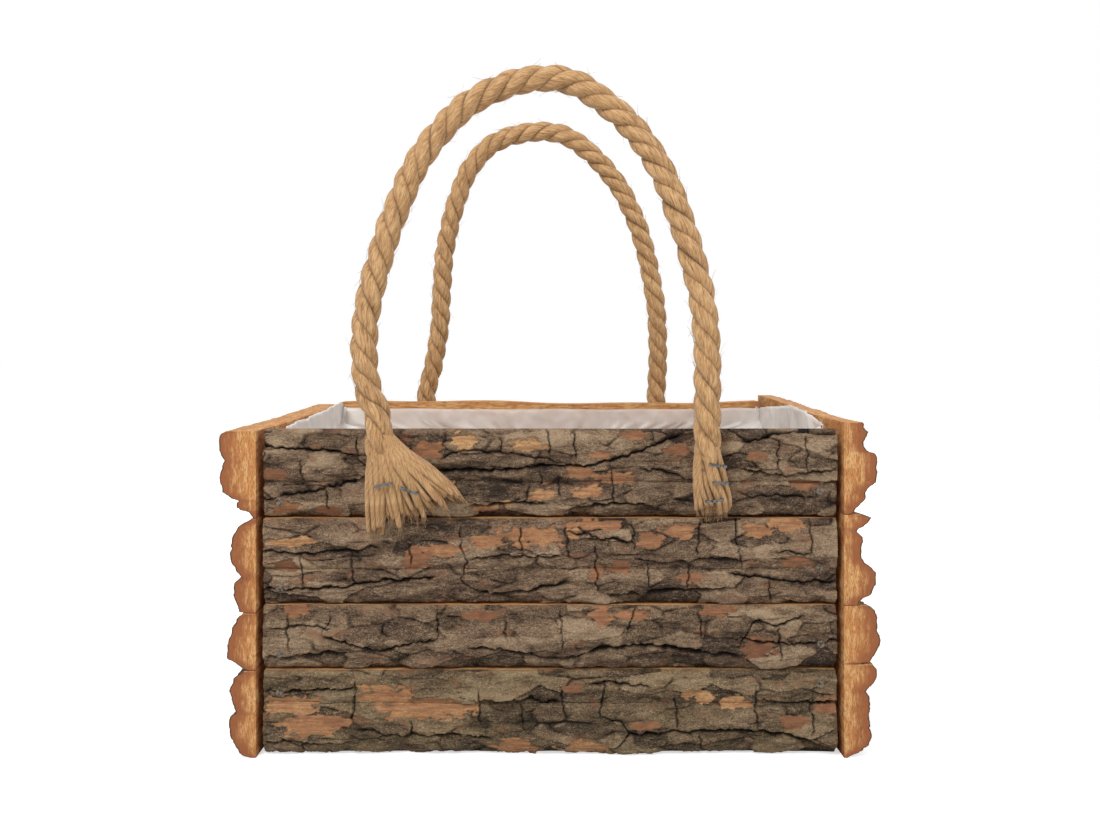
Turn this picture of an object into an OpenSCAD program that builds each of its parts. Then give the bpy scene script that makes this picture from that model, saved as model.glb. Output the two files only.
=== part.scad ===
// Rustic garden basket: a box of bark slabs with a film liner and two rope handles.
// The origin is at the middle of the underside, +X is to the right, +Y is to the rear and +Z is up.

/* [Box] */
// Width over the bark of the two side walls
box_w = 344; // [320:1:400]
// Depth over the bark of the front and rear walls
box_d = 212; // [190:1:260]
// Thickness of a front or rear slab, from its sawn face to its bark crest
face_slab_t = 20; // [18:0.5:26]
// Thickness of a side slab, from its sawn face to its bark crest
side_slab_t = 19; // [18:0.5:24]
// Heights of the front slabs, lowest first
front_h = [45, 34, 45.5, 47]; // [30:0.5:60]
// Heights of the rear slabs, lowest first
rear_h = [48, 38, 43, 46]; // [30:0.5:60]
// Heights of the left slabs, lowest first
left_h = [45.5, 30, 49.3, 45.2]; // [28:0.5:60]
// Heights of the right slabs, lowest first
right_h = [49, 30.5, 47.3, 47.8]; // [28:0.5:60]
// Gap between a slab and the one above it
course_gap = 0.4; // [0:0.1:1.5]
// Gap between the end of a front or rear slab and the side wall
end_gap = 3.5; // [0.3:0.1:5]

/* [Frame] */
// Width and depth of a corner post
post_w = 18; // [15:0.5:24]
// How far the posts end below the lowest rim
post_drop = 16; // [8:1:40]
// Width of a floor cleat
cleat_w = 14; // [10:0.5:20]
// Height of a floor cleat
cleat_h = 12; // [8:0.5:20]
// Thickness of a floor board
board_t = 8; // [6:0.5:12]
// Number of floor boards
board_count = 3; // [2:1:5]
// Gap between two floor boards, and between a board and the wall
board_gap = 1.5; // [0.4:0.1:4]

/* [Liner] */
// Thickness of the plastic film
film_t = 0.6; // [0.4:0.1:1]
// Clearance between the film and the wood
film_gap = 0.3; // [0.1:0.1:1]
// How far the edge of the film lies below the front rim
film_drop = 4; // [2:0.5:12]
// How far the gathered corners of the film stand above its edge
gather_h = 12; // [4:1:20]
// Length of a gathered corner along a wall
gather_w = 34; // [15:1:60]

/* [Rope handles] */
// Diameter of the rope
rope_d = 14; // [10:0.5:16]
// Clearance between the rope and the bark
rope_gap = 0.3; // [0.2:0.1:1]
// Height of the line that a handle flexes about, over the rim that it stands at
flex_rise = 6.5; // [6:0.5:12]
// Length of the round knuckle where the rope flexes
knuckle_len = 11; // [8:0.5:12]
// Gap between the knuckle and the stapled tail below it
flex_gap = 0.3; // [0.2:0.1:1]

/* [Fasteners] */
// Diameter of a wall nail
nail_d = 1.8; // [1.2:0.1:2.4]
// Diameter of a nail head
nail_head_d = 3.8; // [3:0.1:6]
// Thickness of a nail head
nail_head_t = 0.8; // [0.5:0.1:1.5]
// How deep a wall nail goes into its post
nail_bite = 11; // [7:0.5:13]
// How far the wall nails stand from the side walls
nail_inset = 12; // [8:0.5:14]
// How far the tip of a floor nail stays above the underside of its cleat
floor_nail_rise = 3; // [1:0.5:6]
// How deep the nails that hold a cleat go into its side wall
cleat_nail_bite = 8; // [5:0.5:9]
// Clearance round a nail in its hole
nail_fit = 0.05; // [0.02:0.01:0.2]
// Width of a staple over its legs
staple_w = 9; // [7:0.5:12]
// Thickness of the staple wire
staple_wire = 1.2; // [0.8:0.1:1.6]
// How deep a staple goes into the slab
staple_bite = 9; // [5:0.5:13]
// Clearance round a staple leg in its slot
staple_fit = 0.05; // [0.02:0.01:0.2]

/* [Hidden] */
$fn = 48;

inner_w = box_w - 2 * side_slab_t;
inner_d = box_d - 2 * face_slab_t;
rope_r = rope_d / 2;
least_t = 2;
cut = 0.5;
rim_low = min([for (h = [front_h, rear_h, left_h, right_h]) total(h)]);
post_top = rim_low - post_drop;
floor_z = cleat_h + board_t;
film_top = total(front_h) - film_drop;

// Each slab's outline is a list of [share of the height, dip below the crest]. The dips are
// grooves and crests by turns, and the bark bulges between them on quarter ellipses.
front_forms = [
    [[0, 9], [0.3, 0], [0.62, 4.5], [0.82, 1], [1, 6]],
    [[0, 8], [0.5, 0], [1, 8]],
    [[0, 7], [0.2, 1.5], [0.42, 4], [0.72, 0], [1, 6.5]],
    [[0, 6], [0.2, 1], [0.36, 4], [0.62, 0], [1, 7]]
];
rear_forms = [
    [[0, 7], [0.32, 0], [0.55, 3.8], [0.76, 1], [1, 7]],
    [[0, 8], [0.4, 0], [1, 6.5]],
    [[0, 6], [0.28, 0.8], [0.5, 4.2], [0.78, 0], [1, 7]],
    [[0, 7], [0.45, 0], [0.7, 3.5], [0.86, 1.2], [1, 6]]
];
left_forms = [
    [[0, 13], [0.36, 5], [0.52, 8.5], [0.76, 5.6], [1, 12.7]],
    [[0, 15], [0.25, 4], [1, 11.6]],
    [[0, 10.5], [0.26, 7], [0.38, 11.3], [0.61, 5], [1, 16]],
    [[0, 16], [0.14, 9.5], [0.18, 10.5], [0.36, 0.8], [0.63, 2.3], [0.85, 0], [1, 5]]
];
right_forms = [
    [[0, 15], [0.25, 4.4], [0.42, 6.4], [0.54, 5.2], [0.67, 7.5], [0.88, 2], [1, 7]],
    [[0, 12], [0.42, 0], [0.6, 1.8], [0.78, 1.4], [1, 10]],
    [[0, 11], [0.24, 2.4], [0.5, 9.2], [0.66, 8.4], [0.82, 11.8], [0.96, 5.5], [1, 9]],
    [[0, 14], [0.2, 8], [0.26, 8.6], [0.44, 1.1], [0.72, 9], [0.86, 6.5], [1, 9.5]]
];
arc_steps = 4;

// Where the nails sit, as shares of each slab's height, at the wall's left and right end
front_nails_at = [[0.75, 0.85], [0.26, 0.42], [0.2, 0.42], [0.18, 0.3]];
rear_nails_at = [[0.8, 0.85], [0.3, 0.4], [0.25, 0.4], [0.2, 0.3]];
left_nails_at = [[0.62, 0.62], [0.6, 0.6], [0.6, 0.6], [0.5, 0.5]];
right_nails_at = [[0.62, 0.62], [0.6, 0.6], [0.6, 0.6], [0.5, 0.5]];

// A wall is [turn about Z, sawn face to middle, slab thickness, slab length, heights, forms, nails]
face_len = inner_w - 2 * end_gap;
front = [-90, inner_d / 2, face_slab_t, face_len, front_h, front_forms, front_nails_at];
rear = [90, inner_d / 2, face_slab_t, face_len, rear_h, rear_forms, rear_nails_at];
left = [180, inner_w / 2, side_slab_t, box_d, left_h, left_forms, left_nails_at];
right = [0, inner_w / 2, side_slab_t, box_d, right_h, right_forms, right_nails_at];

function total(v, i = 0) = i < len(v) ? v[i] + total(v, i + 1) : 0;
function course_z(w, i) = i == 0 ? 0 : w[4][i - 1] + course_z(w, i - 1);
function slab_h(w, i) = w[4][i] - (i < len(w[4]) - 1 ? course_gap : 0);
function flex_z(w) = total(w[4]) + flex_rise;
function depth(w, dip) = max(least_t, w[2] - dip);

// One bulge between a groove and a crest, as [share, dip] for a share t of its quarter turn
function bulge(a, b, t) = a[1] > b[1]
    ? [b[0] - cos(90 * t) * (b[0] - a[0]), a[1] - sin(90 * t) * (a[1] - b[1])]
    : [a[0] + sin(90 * t) * (b[0] - a[0]), b[1] - cos(90 * t) * (b[1] - a[1])];
function bark_line(form) = concat(
    [for (k = [0:len(form) - 2], i = [0:arc_steps - 1]) bulge(form[k], form[k + 1], i / arc_steps)],
    [form[len(form) - 1]]
);
// The dip of the bark at a share of the height
function dip_at(form, s) = let (line = bark_line(form))
    lookup(s, [for (p = line) [p[0], p[1]]]);

// A wall's own frame: X points out of the wall from the sawn face, Y runs along it, Z is up
module at_wall(w) {
    rotate([0, 0, w[0]]) translate([w[1], 0, 0]) children();
}

// Nails. A wall nail's depth follows the bark where it is driven in.
function nail_z(w, i, side) = course_z(w, i) + w[6][i][side] * slab_h(w, i);
function nail_out(w, i, side) = depth(w, dip_at(w[5][i], w[6][i][side]));
function nail_y(w) = w[0] % 180 == 0 ? inner_d / 2 - post_w / 2 : inner_w / 2 - nail_inset;

module nail(length, grow = 0) {
    translate([0, 0, -length]) cylinder(d = nail_d + 2 * grow, h = length);
    translate([0, 0, -nail_head_t - grow])
        cylinder(d = nail_head_d + 2 * grow, h = nail_head_t + (grow > 0 ? rope_d : 0));
}

// The two nails of course i, side 0 at the wall's -X or front end, with grow for their holes
module slab_nails(w, i, grow = 0) {
    for (side = [0, 1])
        at_wall(w) translate([nail_out(w, i, side), end_sign(w, side) * nail_y(w), nail_z(w, i, side)])
            rotate([0, 90, 0]) nail(nail_out(w, i, side) + nail_bite, grow);
}
// Which way along the wall's own Y axis an end lies
function end_sign(w, side) = (side == 0 ? -1 : 1) * (w[0] == 180 || w[0] == 90 ? -1 : 1);

module wall_nails(w) {
    color("silver") for (i = [0:len(w[4]) - 1]) slab_nails(w, i);
}

// Slabs
module slab_blank(w, i) {
    h = slab_h(w, i);
    outline = concat([[0, 0]], [for (p = bark_line(w[5][i])) [depth(w, p[1]), p[0] * h]], [[0, h]]);
    at_wall(w) translate([0, 0, course_z(w, i)])
        rotate([90, 0, 0]) linear_extrude(w[3], center = true) polygon(outline);
}

module slab(w, i, wood) {
    color(wood) difference() {
        slab_blank(w, i);
        slab_nails(w, i, nail_fit);
        cleat_nails(nail_fit);
        if (i == len(w[4]) - 1) for (t = tails) staples(t, staple_fit);
    }
}

// Frame
function post_x() = inner_w / 2 - post_w / 2;
function post_y() = inner_d / 2 - post_w / 2;

module post(sx, sy) {
    color("burlywood") difference() {
        translate([sx * post_x() - post_w / 2, sy * post_y() - post_w / 2, floor_z])
            cube([post_w, post_w, post_top - floor_z]);
        for (w = [front, rear, left, right], i = [0:len(w[4]) - 1]) slab_nails(w, i, nail_fit);
    }
}

cleat_len = inner_d - 2 * board_gap;
module cleat(sx) {
    color("tan") difference() {
        translate([sx * (inner_w - cleat_w) / 2 - cleat_w / 2, -cleat_len / 2, 0])
            cube([cleat_w, cleat_len, cleat_h]);
        board_nails(nail_fit);
        cleat_nails(nail_fit);
    }
}

board_w = (inner_d - (board_count + 1) * board_gap) / board_count;
function board_y(k) = -inner_d / 2 + board_gap + board_w / 2 + k * (board_w + board_gap);

module floor_board(k) {
    color("burlywood") difference() {
        translate([-inner_w / 2 + board_gap, board_y(k) - board_w / 2, cleat_h])
            cube([inner_w - 2 * board_gap, board_w, board_t]);
        board_nails(nail_fit);
    }
}

// Nails down through the boards into the cleats, clear of the posts
module board_nails(grow = 0) {
    for (sx = [-1, 1], k = [0:board_count - 1])
        translate([sx * (inner_w - cleat_w) / 2, board_nail_y(k), floor_z])
            nail(floor_z - floor_nail_rise, grow);
}
function board_nail_y(k) = max(-board_nail_end, min(board_nail_end, board_y(k)));
board_nail_end = inner_d / 2 - post_w - nail_head_d;

// Nails from inside through the cleats into the lowest side slabs
cleat_nail_share = 0.3;
module cleat_nails(grow = 0) {
    for (sx = [-1, 1], sy = [-1, 1])
        translate([sx * (inner_w / 2 - cleat_w), sy * cleat_nail_share * inner_d, cleat_h / 2])
            rotate([0, -sx * 90, 0]) nail(cleat_w + cleat_nail_bite, grow);
}

module floor_nails() {
    color("silver") {
        board_nails();
        cleat_nails();
    }
}

// Liner: a film that lies on the floor, lines the walls, folds round the posts and stands up
// gathered at the corners
module liner_space(inset, top) {
    w = inner_w - 2 * inset;
    d = inner_d - 2 * inset;
    block = post_w + inset;
    difference() {
        translate([-w / 2, -d / 2, floor_z + inset]) cube([w, d, top - floor_z - inset]);
        for (sx = [-1, 1], sy = [-1, 1])
            translate([sx * (inner_w / 2 - block / 2), sy * (inner_d / 2 - block / 2), floor_z])
                translate([-block / 2 - cut, -block / 2 - cut, -cut])
                    translate([sx * cut, sy * cut, 0])
                        cube([block + 2 * cut, block + 2 * cut, post_top - floor_z + inset + cut]);
    }
}

// A gathered corner slopes up to a knee at a share of its length and of its height
function gather_outline(along, up) = [
    [0, 0], [-gather_w, 0], [-gather_w * along, gather_h * up], [-film_t, gather_h], [0, gather_h]
];

module gathers() {
    w = inner_w - 2 * film_gap;
    d = inner_d - 2 * film_gap;
    for (sx = [-1, 1], sy = [-1, 1]) scale([sx, sy, 1]) {
        translate([w / 2 - film_t, d / 2, film_top]) rotate([90, 0, 90]) linear_extrude(film_t)
            polygon(gather_outline(0.7, 0.8));
        translate([w / 2, d / 2, film_top]) rotate([90, 0, 0]) linear_extrude(film_t)
            polygon(gather_outline(0.6, 0.7));
    }
}

module liner() {
    color([0.95, 0.95, 0.93]) {
        difference() {
            liner_space(film_gap, film_top);
            liner_space(film_gap + film_t, film_top + cut);
        }
        gathers();
    }
}

// Rope arches. Each point is [x, height over the flex line, lean towards the middle].
front_route = [
    [-88, 0, 0], [-93, 13, 0.5], [-95.5, 28, 1.5], [-95.5, 42, 2.5], [-93.5, 60, 4], [-87.5, 85, 7],
    [-79, 111, 10], [-70, 132, 12.5], [-56.5, 151.5, 15.5], [-42.5, 165.5, 18], [-24, 175, 19.5],
    [-5, 179, 20], [11, 177, 20], [25, 169, 19], [44, 151.5, 16], [58.5, 128, 12], [67.5, 104.5, 9],
    [75, 77.5, 6], [79.8, 51, 3.5], [81, 25, 1.3], [80.5, 0, 0]
];
rear_route = [
    [-91.5, 0, 0], [-88, 14, 0.5], [-84.8, 28, 1.5], [-82, 46, 3], [-80.5, 65, 4.5], [-78.5, 93, 7],
    [-75.8, 112, 9], [-71.5, 130, 11], [-60, 160, 15.5], [-42, 180, 19], [-16, 188.5, 20],
    [9, 187, 20], [29, 174, 18.5], [47.5, 154, 15.5], [61, 130, 12], [70.5, 102.5, 8.5],
    [78, 65, 5], [80, 28, 1.5], [79, 0, 0]
];
tube_sides = 12;
ring_steps = 2;

// A smooth curve through the route's points
function curve_at(p, i, t) = let (
    a = p[max(0, i - 1)], b = p[i], c = p[i + 1], d = p[min(len(p) - 1, i + 2)]
) b + (c - a) * t / 2 + (a - 2.5 * b + 2 * c - d / 2) * t * t + ((d - a) / 2 + 1.5 * (b - c)) * t * t * t;
function curve(p) = concat(
    [for (i = [0:len(p) - 2], k = [0:ring_steps - 1]) curve_at(p, i, k / ring_steps)],
    [p[len(p) - 1]]
);
function unit(v) = v / norm(v);
function heading(p, i) = unit(p[min(len(p) - 1, i + 1)] - p[max(0, i - 1)]);

// A tube along points p with half widths r[i] across and t[i] in depth. The rings stay
// square to the route and keep one side to the front.
module tube(p, r, t) {
    n = len(p);
    rings = [for (i = [0:n - 1], k = [0:tube_sides - 1])
        let (
            along = heading(p, i),
            across = unit(cross(along, [0, 1, 0])),
            out = cross(across, along),
            a = 360 * k / tube_sides
        ) p[i] + r[i] * cos(a) * across + t[i] * sin(a) * out];
    sides = [for (i = [0:n - 2], k = [0:tube_sides - 1])
        let (a = i * tube_sides + k, b = i * tube_sides + (k + 1) % tube_sides)
        [a, b, b + tube_sides, a + tube_sides]];
    polyhedron(rings, concat(
        [[for (k = [tube_sides - 1:-1:0]) k]], sides,
        [[for (k = [0:tube_sides - 1]) (n - 1) * tube_sides + k]]
    ), convexity = 6);
}

// The plane of a wall's rope, and a route's points in the row frame
function rope_y(w) = w[0] / 90 * (box_d / 2 + rope_gap + rope_r);
function placed(w, p) = [p[0], rope_y(w) - w[0] / 90 * p[2], flex_z(w) + p[1]];

module handle(w, route) {
    points = [for (p = curve(route)) placed(w, p)];
    color("peru") {
        tube(points, [for (p = points) rope_r], [for (p = points) rope_r]);
        for (foot = [route[0], route[len(route) - 1]])
            translate(placed(w, foot)) rotate([0, 90, 0])
                cylinder(r = rope_r, h = knuckle_len, center = true);
    }
}

// Tails. A strand is a list of [x, fall below the tail's top, half width, half depth], with the
// half sizes in rope radii, and a staple is [x, fall, turn].
fan_strands = [
    [[-87.5, 0, 1, 0.94], [-87, 12, 1.07, 0.96], [-87, 30, 0.93, 0.86],
        [-87.5, 43, 0.7, 0.7], [-88.5, 52, 0.36, 0.43]],
    [[-85, 2, 1, 0.94], [-80, 14, 1.07, 0.93], [-73, 27, 1, 0.83],
        [-69, 38, 0.86, 0.66], [-66, 46, 0.5, 0.43]],
    [[-83.5, 2, 0.86, 0.91], [-74.5, 13, 1, 0.86], [-64, 22, 1.07, 0.77],
        [-55, 30, 0.93, 0.63], [-48, 37, 0.57, 0.43]]
];
stub_right = [[
    [80.5, 0, 1.06, 0.94], [80.8, 14, 1.2, 0.97], [82, 27, 1.57, 0.91],
    [83.8, 36, 1.7, 0.74], [84, 43, 1.3, 0.43]
]];
rear_stub_left = [[
    [-91.5, 0, 1.06, 0.94], [-91, 15, 1.23, 0.97], [-90, 28, 1.57, 0.89],
    [-89, 38, 1.64, 0.71], [-89, 45, 1.14, 0.43]
]];
rear_stub_right = [[
    [79, 0, 1.06, 0.94], [79.5, 14, 1.2, 0.97], [80, 29, 1.5, 0.89],
    [80.5, 40, 1.57, 0.71], [80, 47, 1.14, 0.43]
]];
fan_staples = [[-84.5, 27, -12], [-71.5, 30, 20]];
stub_staples = [[85, 17, 10], [86.5, 26, 4], [83.5, 35, -8]];
rear_left_staples = [[-91, 14, 6], [-90, 24, -8], [-89.5, 34, 4]];
rear_right_staples = [[79.5, 14, -5], [80.5, 24, 8], [80, 35, -4]];

// A tail is [wall, strands, staples]
front_left = [front, fan_strands, fan_staples];
front_right = [front, stub_right, stub_staples];
rear_left = [rear, rear_stub_left, rear_left_staples];
rear_right = [rear, rear_stub_right, rear_right_staples];
tails = [front_left, front_right, rear_left, rear_right];

function tail_top(w) = flex_z(w) - rope_r - flex_gap;
function crown_y(w) = rope_y(w) + w[0] / 90 * rope_r;

module tail(t) {
    w = t[0];
    color("peru") difference() {
        union() for (strand = t[1]) {
            c = curve([for (p = strand) [p[0], 0, tail_top(w) - p[1]]]);
            size = curve([for (p = strand) rope_r * [p[2], min(p[3], 0.97), 0]]);
            tube([for (p = c) [p[0], rope_y(w), p[2]]],
                [for (s = size) s[0]], [for (s = size) s[1]]);
        }
        over_tail_top(w);
        staples(t, staple_fit);
    }
}

// All that lies above the flat top of a wall's tails
module over_tail_top(w) {
    translate([-box_w / 2, rope_y(w) - rope_d, tail_top(w)]) cube([box_w, 2 * rope_d, rope_d]);
}

module staples(t, grow = 0) {
    w = t[0];
    for (s = t[2]) translate([s[0], crown_y(w), tail_top(w) - s[1]]) rotate([0, s[2], 0])
        scale([1, -w[0] / 90, 1]) staple(grow);
}

// A staple with its crown in the plane Y = 0 and its legs along +Y
module staple(grow) {
    leg = rope_d + rope_gap + staple_bite;
    wire = staple_wire + 2 * grow;
    for (side = [-1, 1])
        translate([side * (staple_w - staple_wire) / 2 - wire / 2, 0, -wire / 2]) cube([wire, leg + grow, wire]);
    translate([-staple_w / 2 - grow, -grow, -wire / 2]) cube([staple_w + 2 * grow, staple_wire + 2 * grow, wire]);
}

module tail_staples(t) {
    color("dimgray") staples(t);
}

for (i = [0:3]) {
    slab(front, i, [0.42, 0.35, 0.28]);
    slab(rear, i, [0.42, 0.35, 0.28]);
    slab(left, i, [0.78, 0.5, 0.3]);
    slab(right, i, [0.78, 0.5, 0.3]);
}
post(-1, -1);  // post_front_left
post(1, -1);  // post_front_right
post(-1, 1);  // post_rear_left
post(1, 1);  // post_rear_right
cleat(-1);  // cleat_left
cleat(1);  // cleat_right
for (k = [1:board_count])
    floor_board(k - 1);
liner();
floor_nails();
wall_nails(front);  // front_nails
wall_nails(rear);  // rear_nails
wall_nails(left);  // left_nails
wall_nails(right);  // right_nails
handle(front, front_route);  // front_handle
handle(rear, rear_route);  // rear_handle
tail(front_left);  // front_tail_left
tail(front_right);  // front_tail_right
tail(rear_left);  // rear_tail_left
tail(rear_right);  // rear_tail_right
tail_staples(front_left);  // front_staples_left
tail_staples(front_right);  // front_staples_right
tail_staples(rear_left);  // rear_staples_left
tail_staples(rear_right);  // rear_staples_right
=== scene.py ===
# %% [markdown]
# A rustic garden basket: four walls of bark slabs nailed to corner posts, a milky film liner and two
# thick jute rope handles. The imported model gives every place and size, so it is loaded first.

# %% Load the imported model
import math

import bpy
import numpy as np
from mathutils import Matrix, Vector


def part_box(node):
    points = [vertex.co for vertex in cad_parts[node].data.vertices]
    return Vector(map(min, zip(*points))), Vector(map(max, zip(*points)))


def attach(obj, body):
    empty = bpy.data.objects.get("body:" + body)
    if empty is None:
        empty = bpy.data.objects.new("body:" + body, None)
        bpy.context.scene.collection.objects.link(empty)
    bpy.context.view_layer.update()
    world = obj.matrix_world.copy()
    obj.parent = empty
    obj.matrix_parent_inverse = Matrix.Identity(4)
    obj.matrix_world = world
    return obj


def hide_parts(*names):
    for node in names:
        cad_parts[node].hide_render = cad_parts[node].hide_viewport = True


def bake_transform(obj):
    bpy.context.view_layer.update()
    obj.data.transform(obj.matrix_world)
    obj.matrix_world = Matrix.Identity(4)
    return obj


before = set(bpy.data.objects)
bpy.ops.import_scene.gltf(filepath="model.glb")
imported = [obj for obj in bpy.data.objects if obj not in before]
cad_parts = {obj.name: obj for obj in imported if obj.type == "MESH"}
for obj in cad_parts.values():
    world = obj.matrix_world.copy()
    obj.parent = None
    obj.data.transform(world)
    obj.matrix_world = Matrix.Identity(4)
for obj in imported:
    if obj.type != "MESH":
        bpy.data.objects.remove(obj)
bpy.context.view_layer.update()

MM = 0.001
scene = bpy.context.scene

# %% [markdown]
# The photograph was taken from just above the rim, square to the front wall. One pixel is 0.52 mm at
# the face of the front slabs, the horizon lies 59 pixels above the picture's middle, and the rear rope
# looks 0.69 times as thick as the front one, which puts the lens 510 mm in front of that face. The
# upright edges stay parallel, so the camera looks level and the frame is shifted instead of tilted.

# %% Camera at the photograph's viewing angle
PIXEL = 0.52 * MM
PICTURE_W = 1100
MIDDLE_X = 550
BASE_Y = 758
HORIZON_Y = 353
CENTRE_Y = 412
EYE_TO_FACE = 0.510
FACE_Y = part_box("front_slab_4")[0][1]

bpy.ops.object.select_all(action="DESELECT")
bpy.ops.object.camera_add(
    location=(0, FACE_Y - EYE_TO_FACE, (BASE_Y - HORIZON_Y) * PIXEL), rotation=(math.pi / 2, 0, 0)
)
camera = bpy.context.active_object
camera.data.lens = camera.data.sensor_width * EYE_TO_FACE / (PICTURE_W * PIXEL)
camera.data.shift_y = -(CENTRE_Y - HORIZON_Y) / PICTURE_W
camera.data.clip_start = 0.01
scene.camera = camera
print("lens", round(camera.data.lens, 2), "shift", round(camera.data.shift_y, 4))


def from_photo(x, y):
    """Row-frame X and Z, in mm, of a photograph pixel that lies on the front face."""
    return (x - MIDDLE_X) * PIXEL / MM, (BASE_Y - y) * PIXEL / MM


# %% [markdown]
# A finish is a small tree of nodes. These helpers add one node each and hand back its output, so that
# every material below reads as a short recipe: where the pattern lies, how it is coloured, how rough.

# %% Helpers for materials


def srgb(red, green, blue):
    """A colour written as the eye reads it, from 0 to 255, as the linear values of a shader."""
    line = [c / 255 for c in (red, green, blue)]
    return tuple(c / 12.92 if c <= 0.04045 else ((c + 0.055) / 1.055) ** 2.4 for c in line) + (1.0,)


def new_material(name):
    material = bpy.data.materials.new(name)
    material.use_nodes = True
    return material, material.node_tree, material.node_tree.nodes["Principled BSDF"]


def feed(tree, socket, value):
    """Links an output into a socket, or writes a plain value there."""
    if isinstance(value, bpy.types.NodeSocket):
        tree.links.new(value, socket)
    else:
        socket.default_value = value


def object_place(tree, scale):
    """Object coordinates, stretched by a different amount along each axis."""
    place = tree.nodes.new("ShaderNodeTexCoord")
    mapping = tree.nodes.new("ShaderNodeMapping")
    mapping.inputs["Scale"].default_value = scale
    tree.links.new(place.outputs["Object"], mapping.inputs["Vector"])
    return mapping.outputs["Vector"]


def noise_of(tree, place, scale, detail=4.0, roughness=0.55):
    made = tree.nodes.new("ShaderNodeTexNoise")
    tree.links.new(place, made.inputs["Vector"])
    made.inputs["Scale"].default_value = scale
    made.inputs["Detail"].default_value = detail
    made.inputs["Roughness"].default_value = roughness
    return made.outputs["Fac"]


def calc(tree, operation, a, b=0.0, c=None, clamp=False):
    made = tree.nodes.new("ShaderNodeMath")
    made.operation = operation
    made.use_clamp = clamp
    feed(tree, made.inputs[0], a)
    feed(tree, made.inputs[1], b)
    if c is not None:
        feed(tree, made.inputs[2], c)
    return made.outputs[0]


def plus(tree, a, b):
    return calc(tree, "ADD", a, b)


def times(tree, a, b):
    return calc(tree, "MULTIPLY", a, b)


def spread(tree, value, low, high):
    """Stretches a value so that low becomes 0 and high becomes 1."""
    made = tree.nodes.new("ShaderNodeMapRange")
    made.interpolation_type = "SMOOTHSTEP"
    feed(tree, made.inputs["Value"], value)
    made.inputs["From Min"].default_value = low
    made.inputs["From Max"].default_value = high
    return made.outputs["Result"]


def between(tree, share, a, b):
    """A colour between a and b."""
    made = tree.nodes.new("ShaderNodeMix")
    made.data_type = "RGBA"
    feed(tree, made.inputs[0], share)
    feed(tree, made.inputs[6], a)
    feed(tree, made.inputs[7], b)
    return made.outputs[2]


def overlay(tree, colour, over, mask, low, high, most):
    """The colour with another laid over it where a mask runs from low to high, by at most that share."""
    return between(tree, times(tree, spread(tree, mask, low, high), most), colour, over)


def ramp(tree, value, stops):
    """A colour from a list of [place, colour]."""
    made = tree.nodes.new("ShaderNodeValToRGB")
    feed(tree, made.inputs[0], value)
    elements = made.color_ramp.elements
    while len(elements) < len(stops):
        elements.new(0.5)
    for element, (place, colour) in zip(elements, stops):
        element.position = place
        element.color = colour
    return made.outputs[0]


def number_of(tree, name):
    """A number that is kept at every point of the piece."""
    made = tree.nodes.new("ShaderNodeAttribute")
    made.attribute_name = name
    return made.outputs["Fac"]


def bump(tree, shader, height, strength, distance):
    made = tree.nodes.new("ShaderNodeBump")
    made.inputs["Strength"].default_value = strength
    made.inputs["Distance"].default_value = distance
    tree.links.new(height, made.inputs["Height"])
    tree.links.new(made.outputs["Normal"], shader.inputs["Normal"])


def surface(tree, shader, colour, roughness, gloss=0.5):
    feed(tree, shader.inputs["Base Color"], colour)
    feed(tree, shader.inputs["Roughness"], roughness)
    shader.inputs["Specular IOR Level"].default_value = gloss


def coat(mesh, material):
    """Takes off what a mesh was painted with and gives it one material."""
    mesh.materials.clear()
    mesh.materials.append(material)


print("mid bark in linear values", [round(c, 3) for c in srgb(125, 105, 85)])

# %% [markdown]
# Soft studio light: one large lamp high in front, a weaker one on the other side and a pale world. The
# floor and the world are white to the camera, so the object stands on white and keeps its own shadow.

# %% Light, floor and white surroundings
WHITE = (1, 1, 1, 1)
WORLD_STRENGTH = 0.46
FLOOR_SIZE = 40
FLOOR_GREY = (0.8, 0.8, 0.8, 1)
FLOOR_GLOW = 0.58
# name, place, height of what it is aimed at, size, watts
LAMPS = [
    ("key", (-0.55, -1.0, 1.25), 0.12, 0.6, 16),
    ("side", (1.1, -0.7, 0.7), 0.12, 0.8, 5),
    ("back", (0.2, 1.1, 1.0), 0.15, 0.8, 6),
]

scene.view_settings.view_transform = "Standard"
for name, place, aim_height, size, watts in LAMPS:
    bpy.ops.object.light_add(type="AREA", location=place)
    lamp = bpy.context.active_object
    lamp.name = name
    lamp.data.shape = "DISK"
    lamp.data.size = size
    lamp.data.energy = watts
    lamp.rotation_euler = (Vector((0, 0, aim_height)) - Vector(place)).to_track_quat("-Z", "Y").to_euler()

world = bpy.data.worlds.new("pale_room")
scene.world = world
world.use_nodes = True
tree = world.node_tree
lighting = tree.nodes["Background"]
seen_white = tree.nodes.new("ShaderNodeBackground")
for backdrop, strength in ((lighting, WORLD_STRENGTH), (seen_white, 1.0)):
    backdrop.inputs["Color"].default_value = WHITE
    backdrop.inputs["Strength"].default_value = strength
ray = tree.nodes.new("ShaderNodeLightPath").outputs
seen = calc(tree, "MAXIMUM", ray["Is Camera Ray"], ray["Is Glossy Ray"])
seen = calc(tree, "MAXIMUM", seen, ray["Is Transmission Ray"])
mix = tree.nodes.new("ShaderNodeMixShader")
for socket, value in zip(mix.inputs, (seen, lighting.outputs[0], seen_white.outputs[0])):
    feed(tree, socket, value)
feed(tree, tree.nodes["World Output"].inputs["Surface"], mix.outputs[0])

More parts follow.
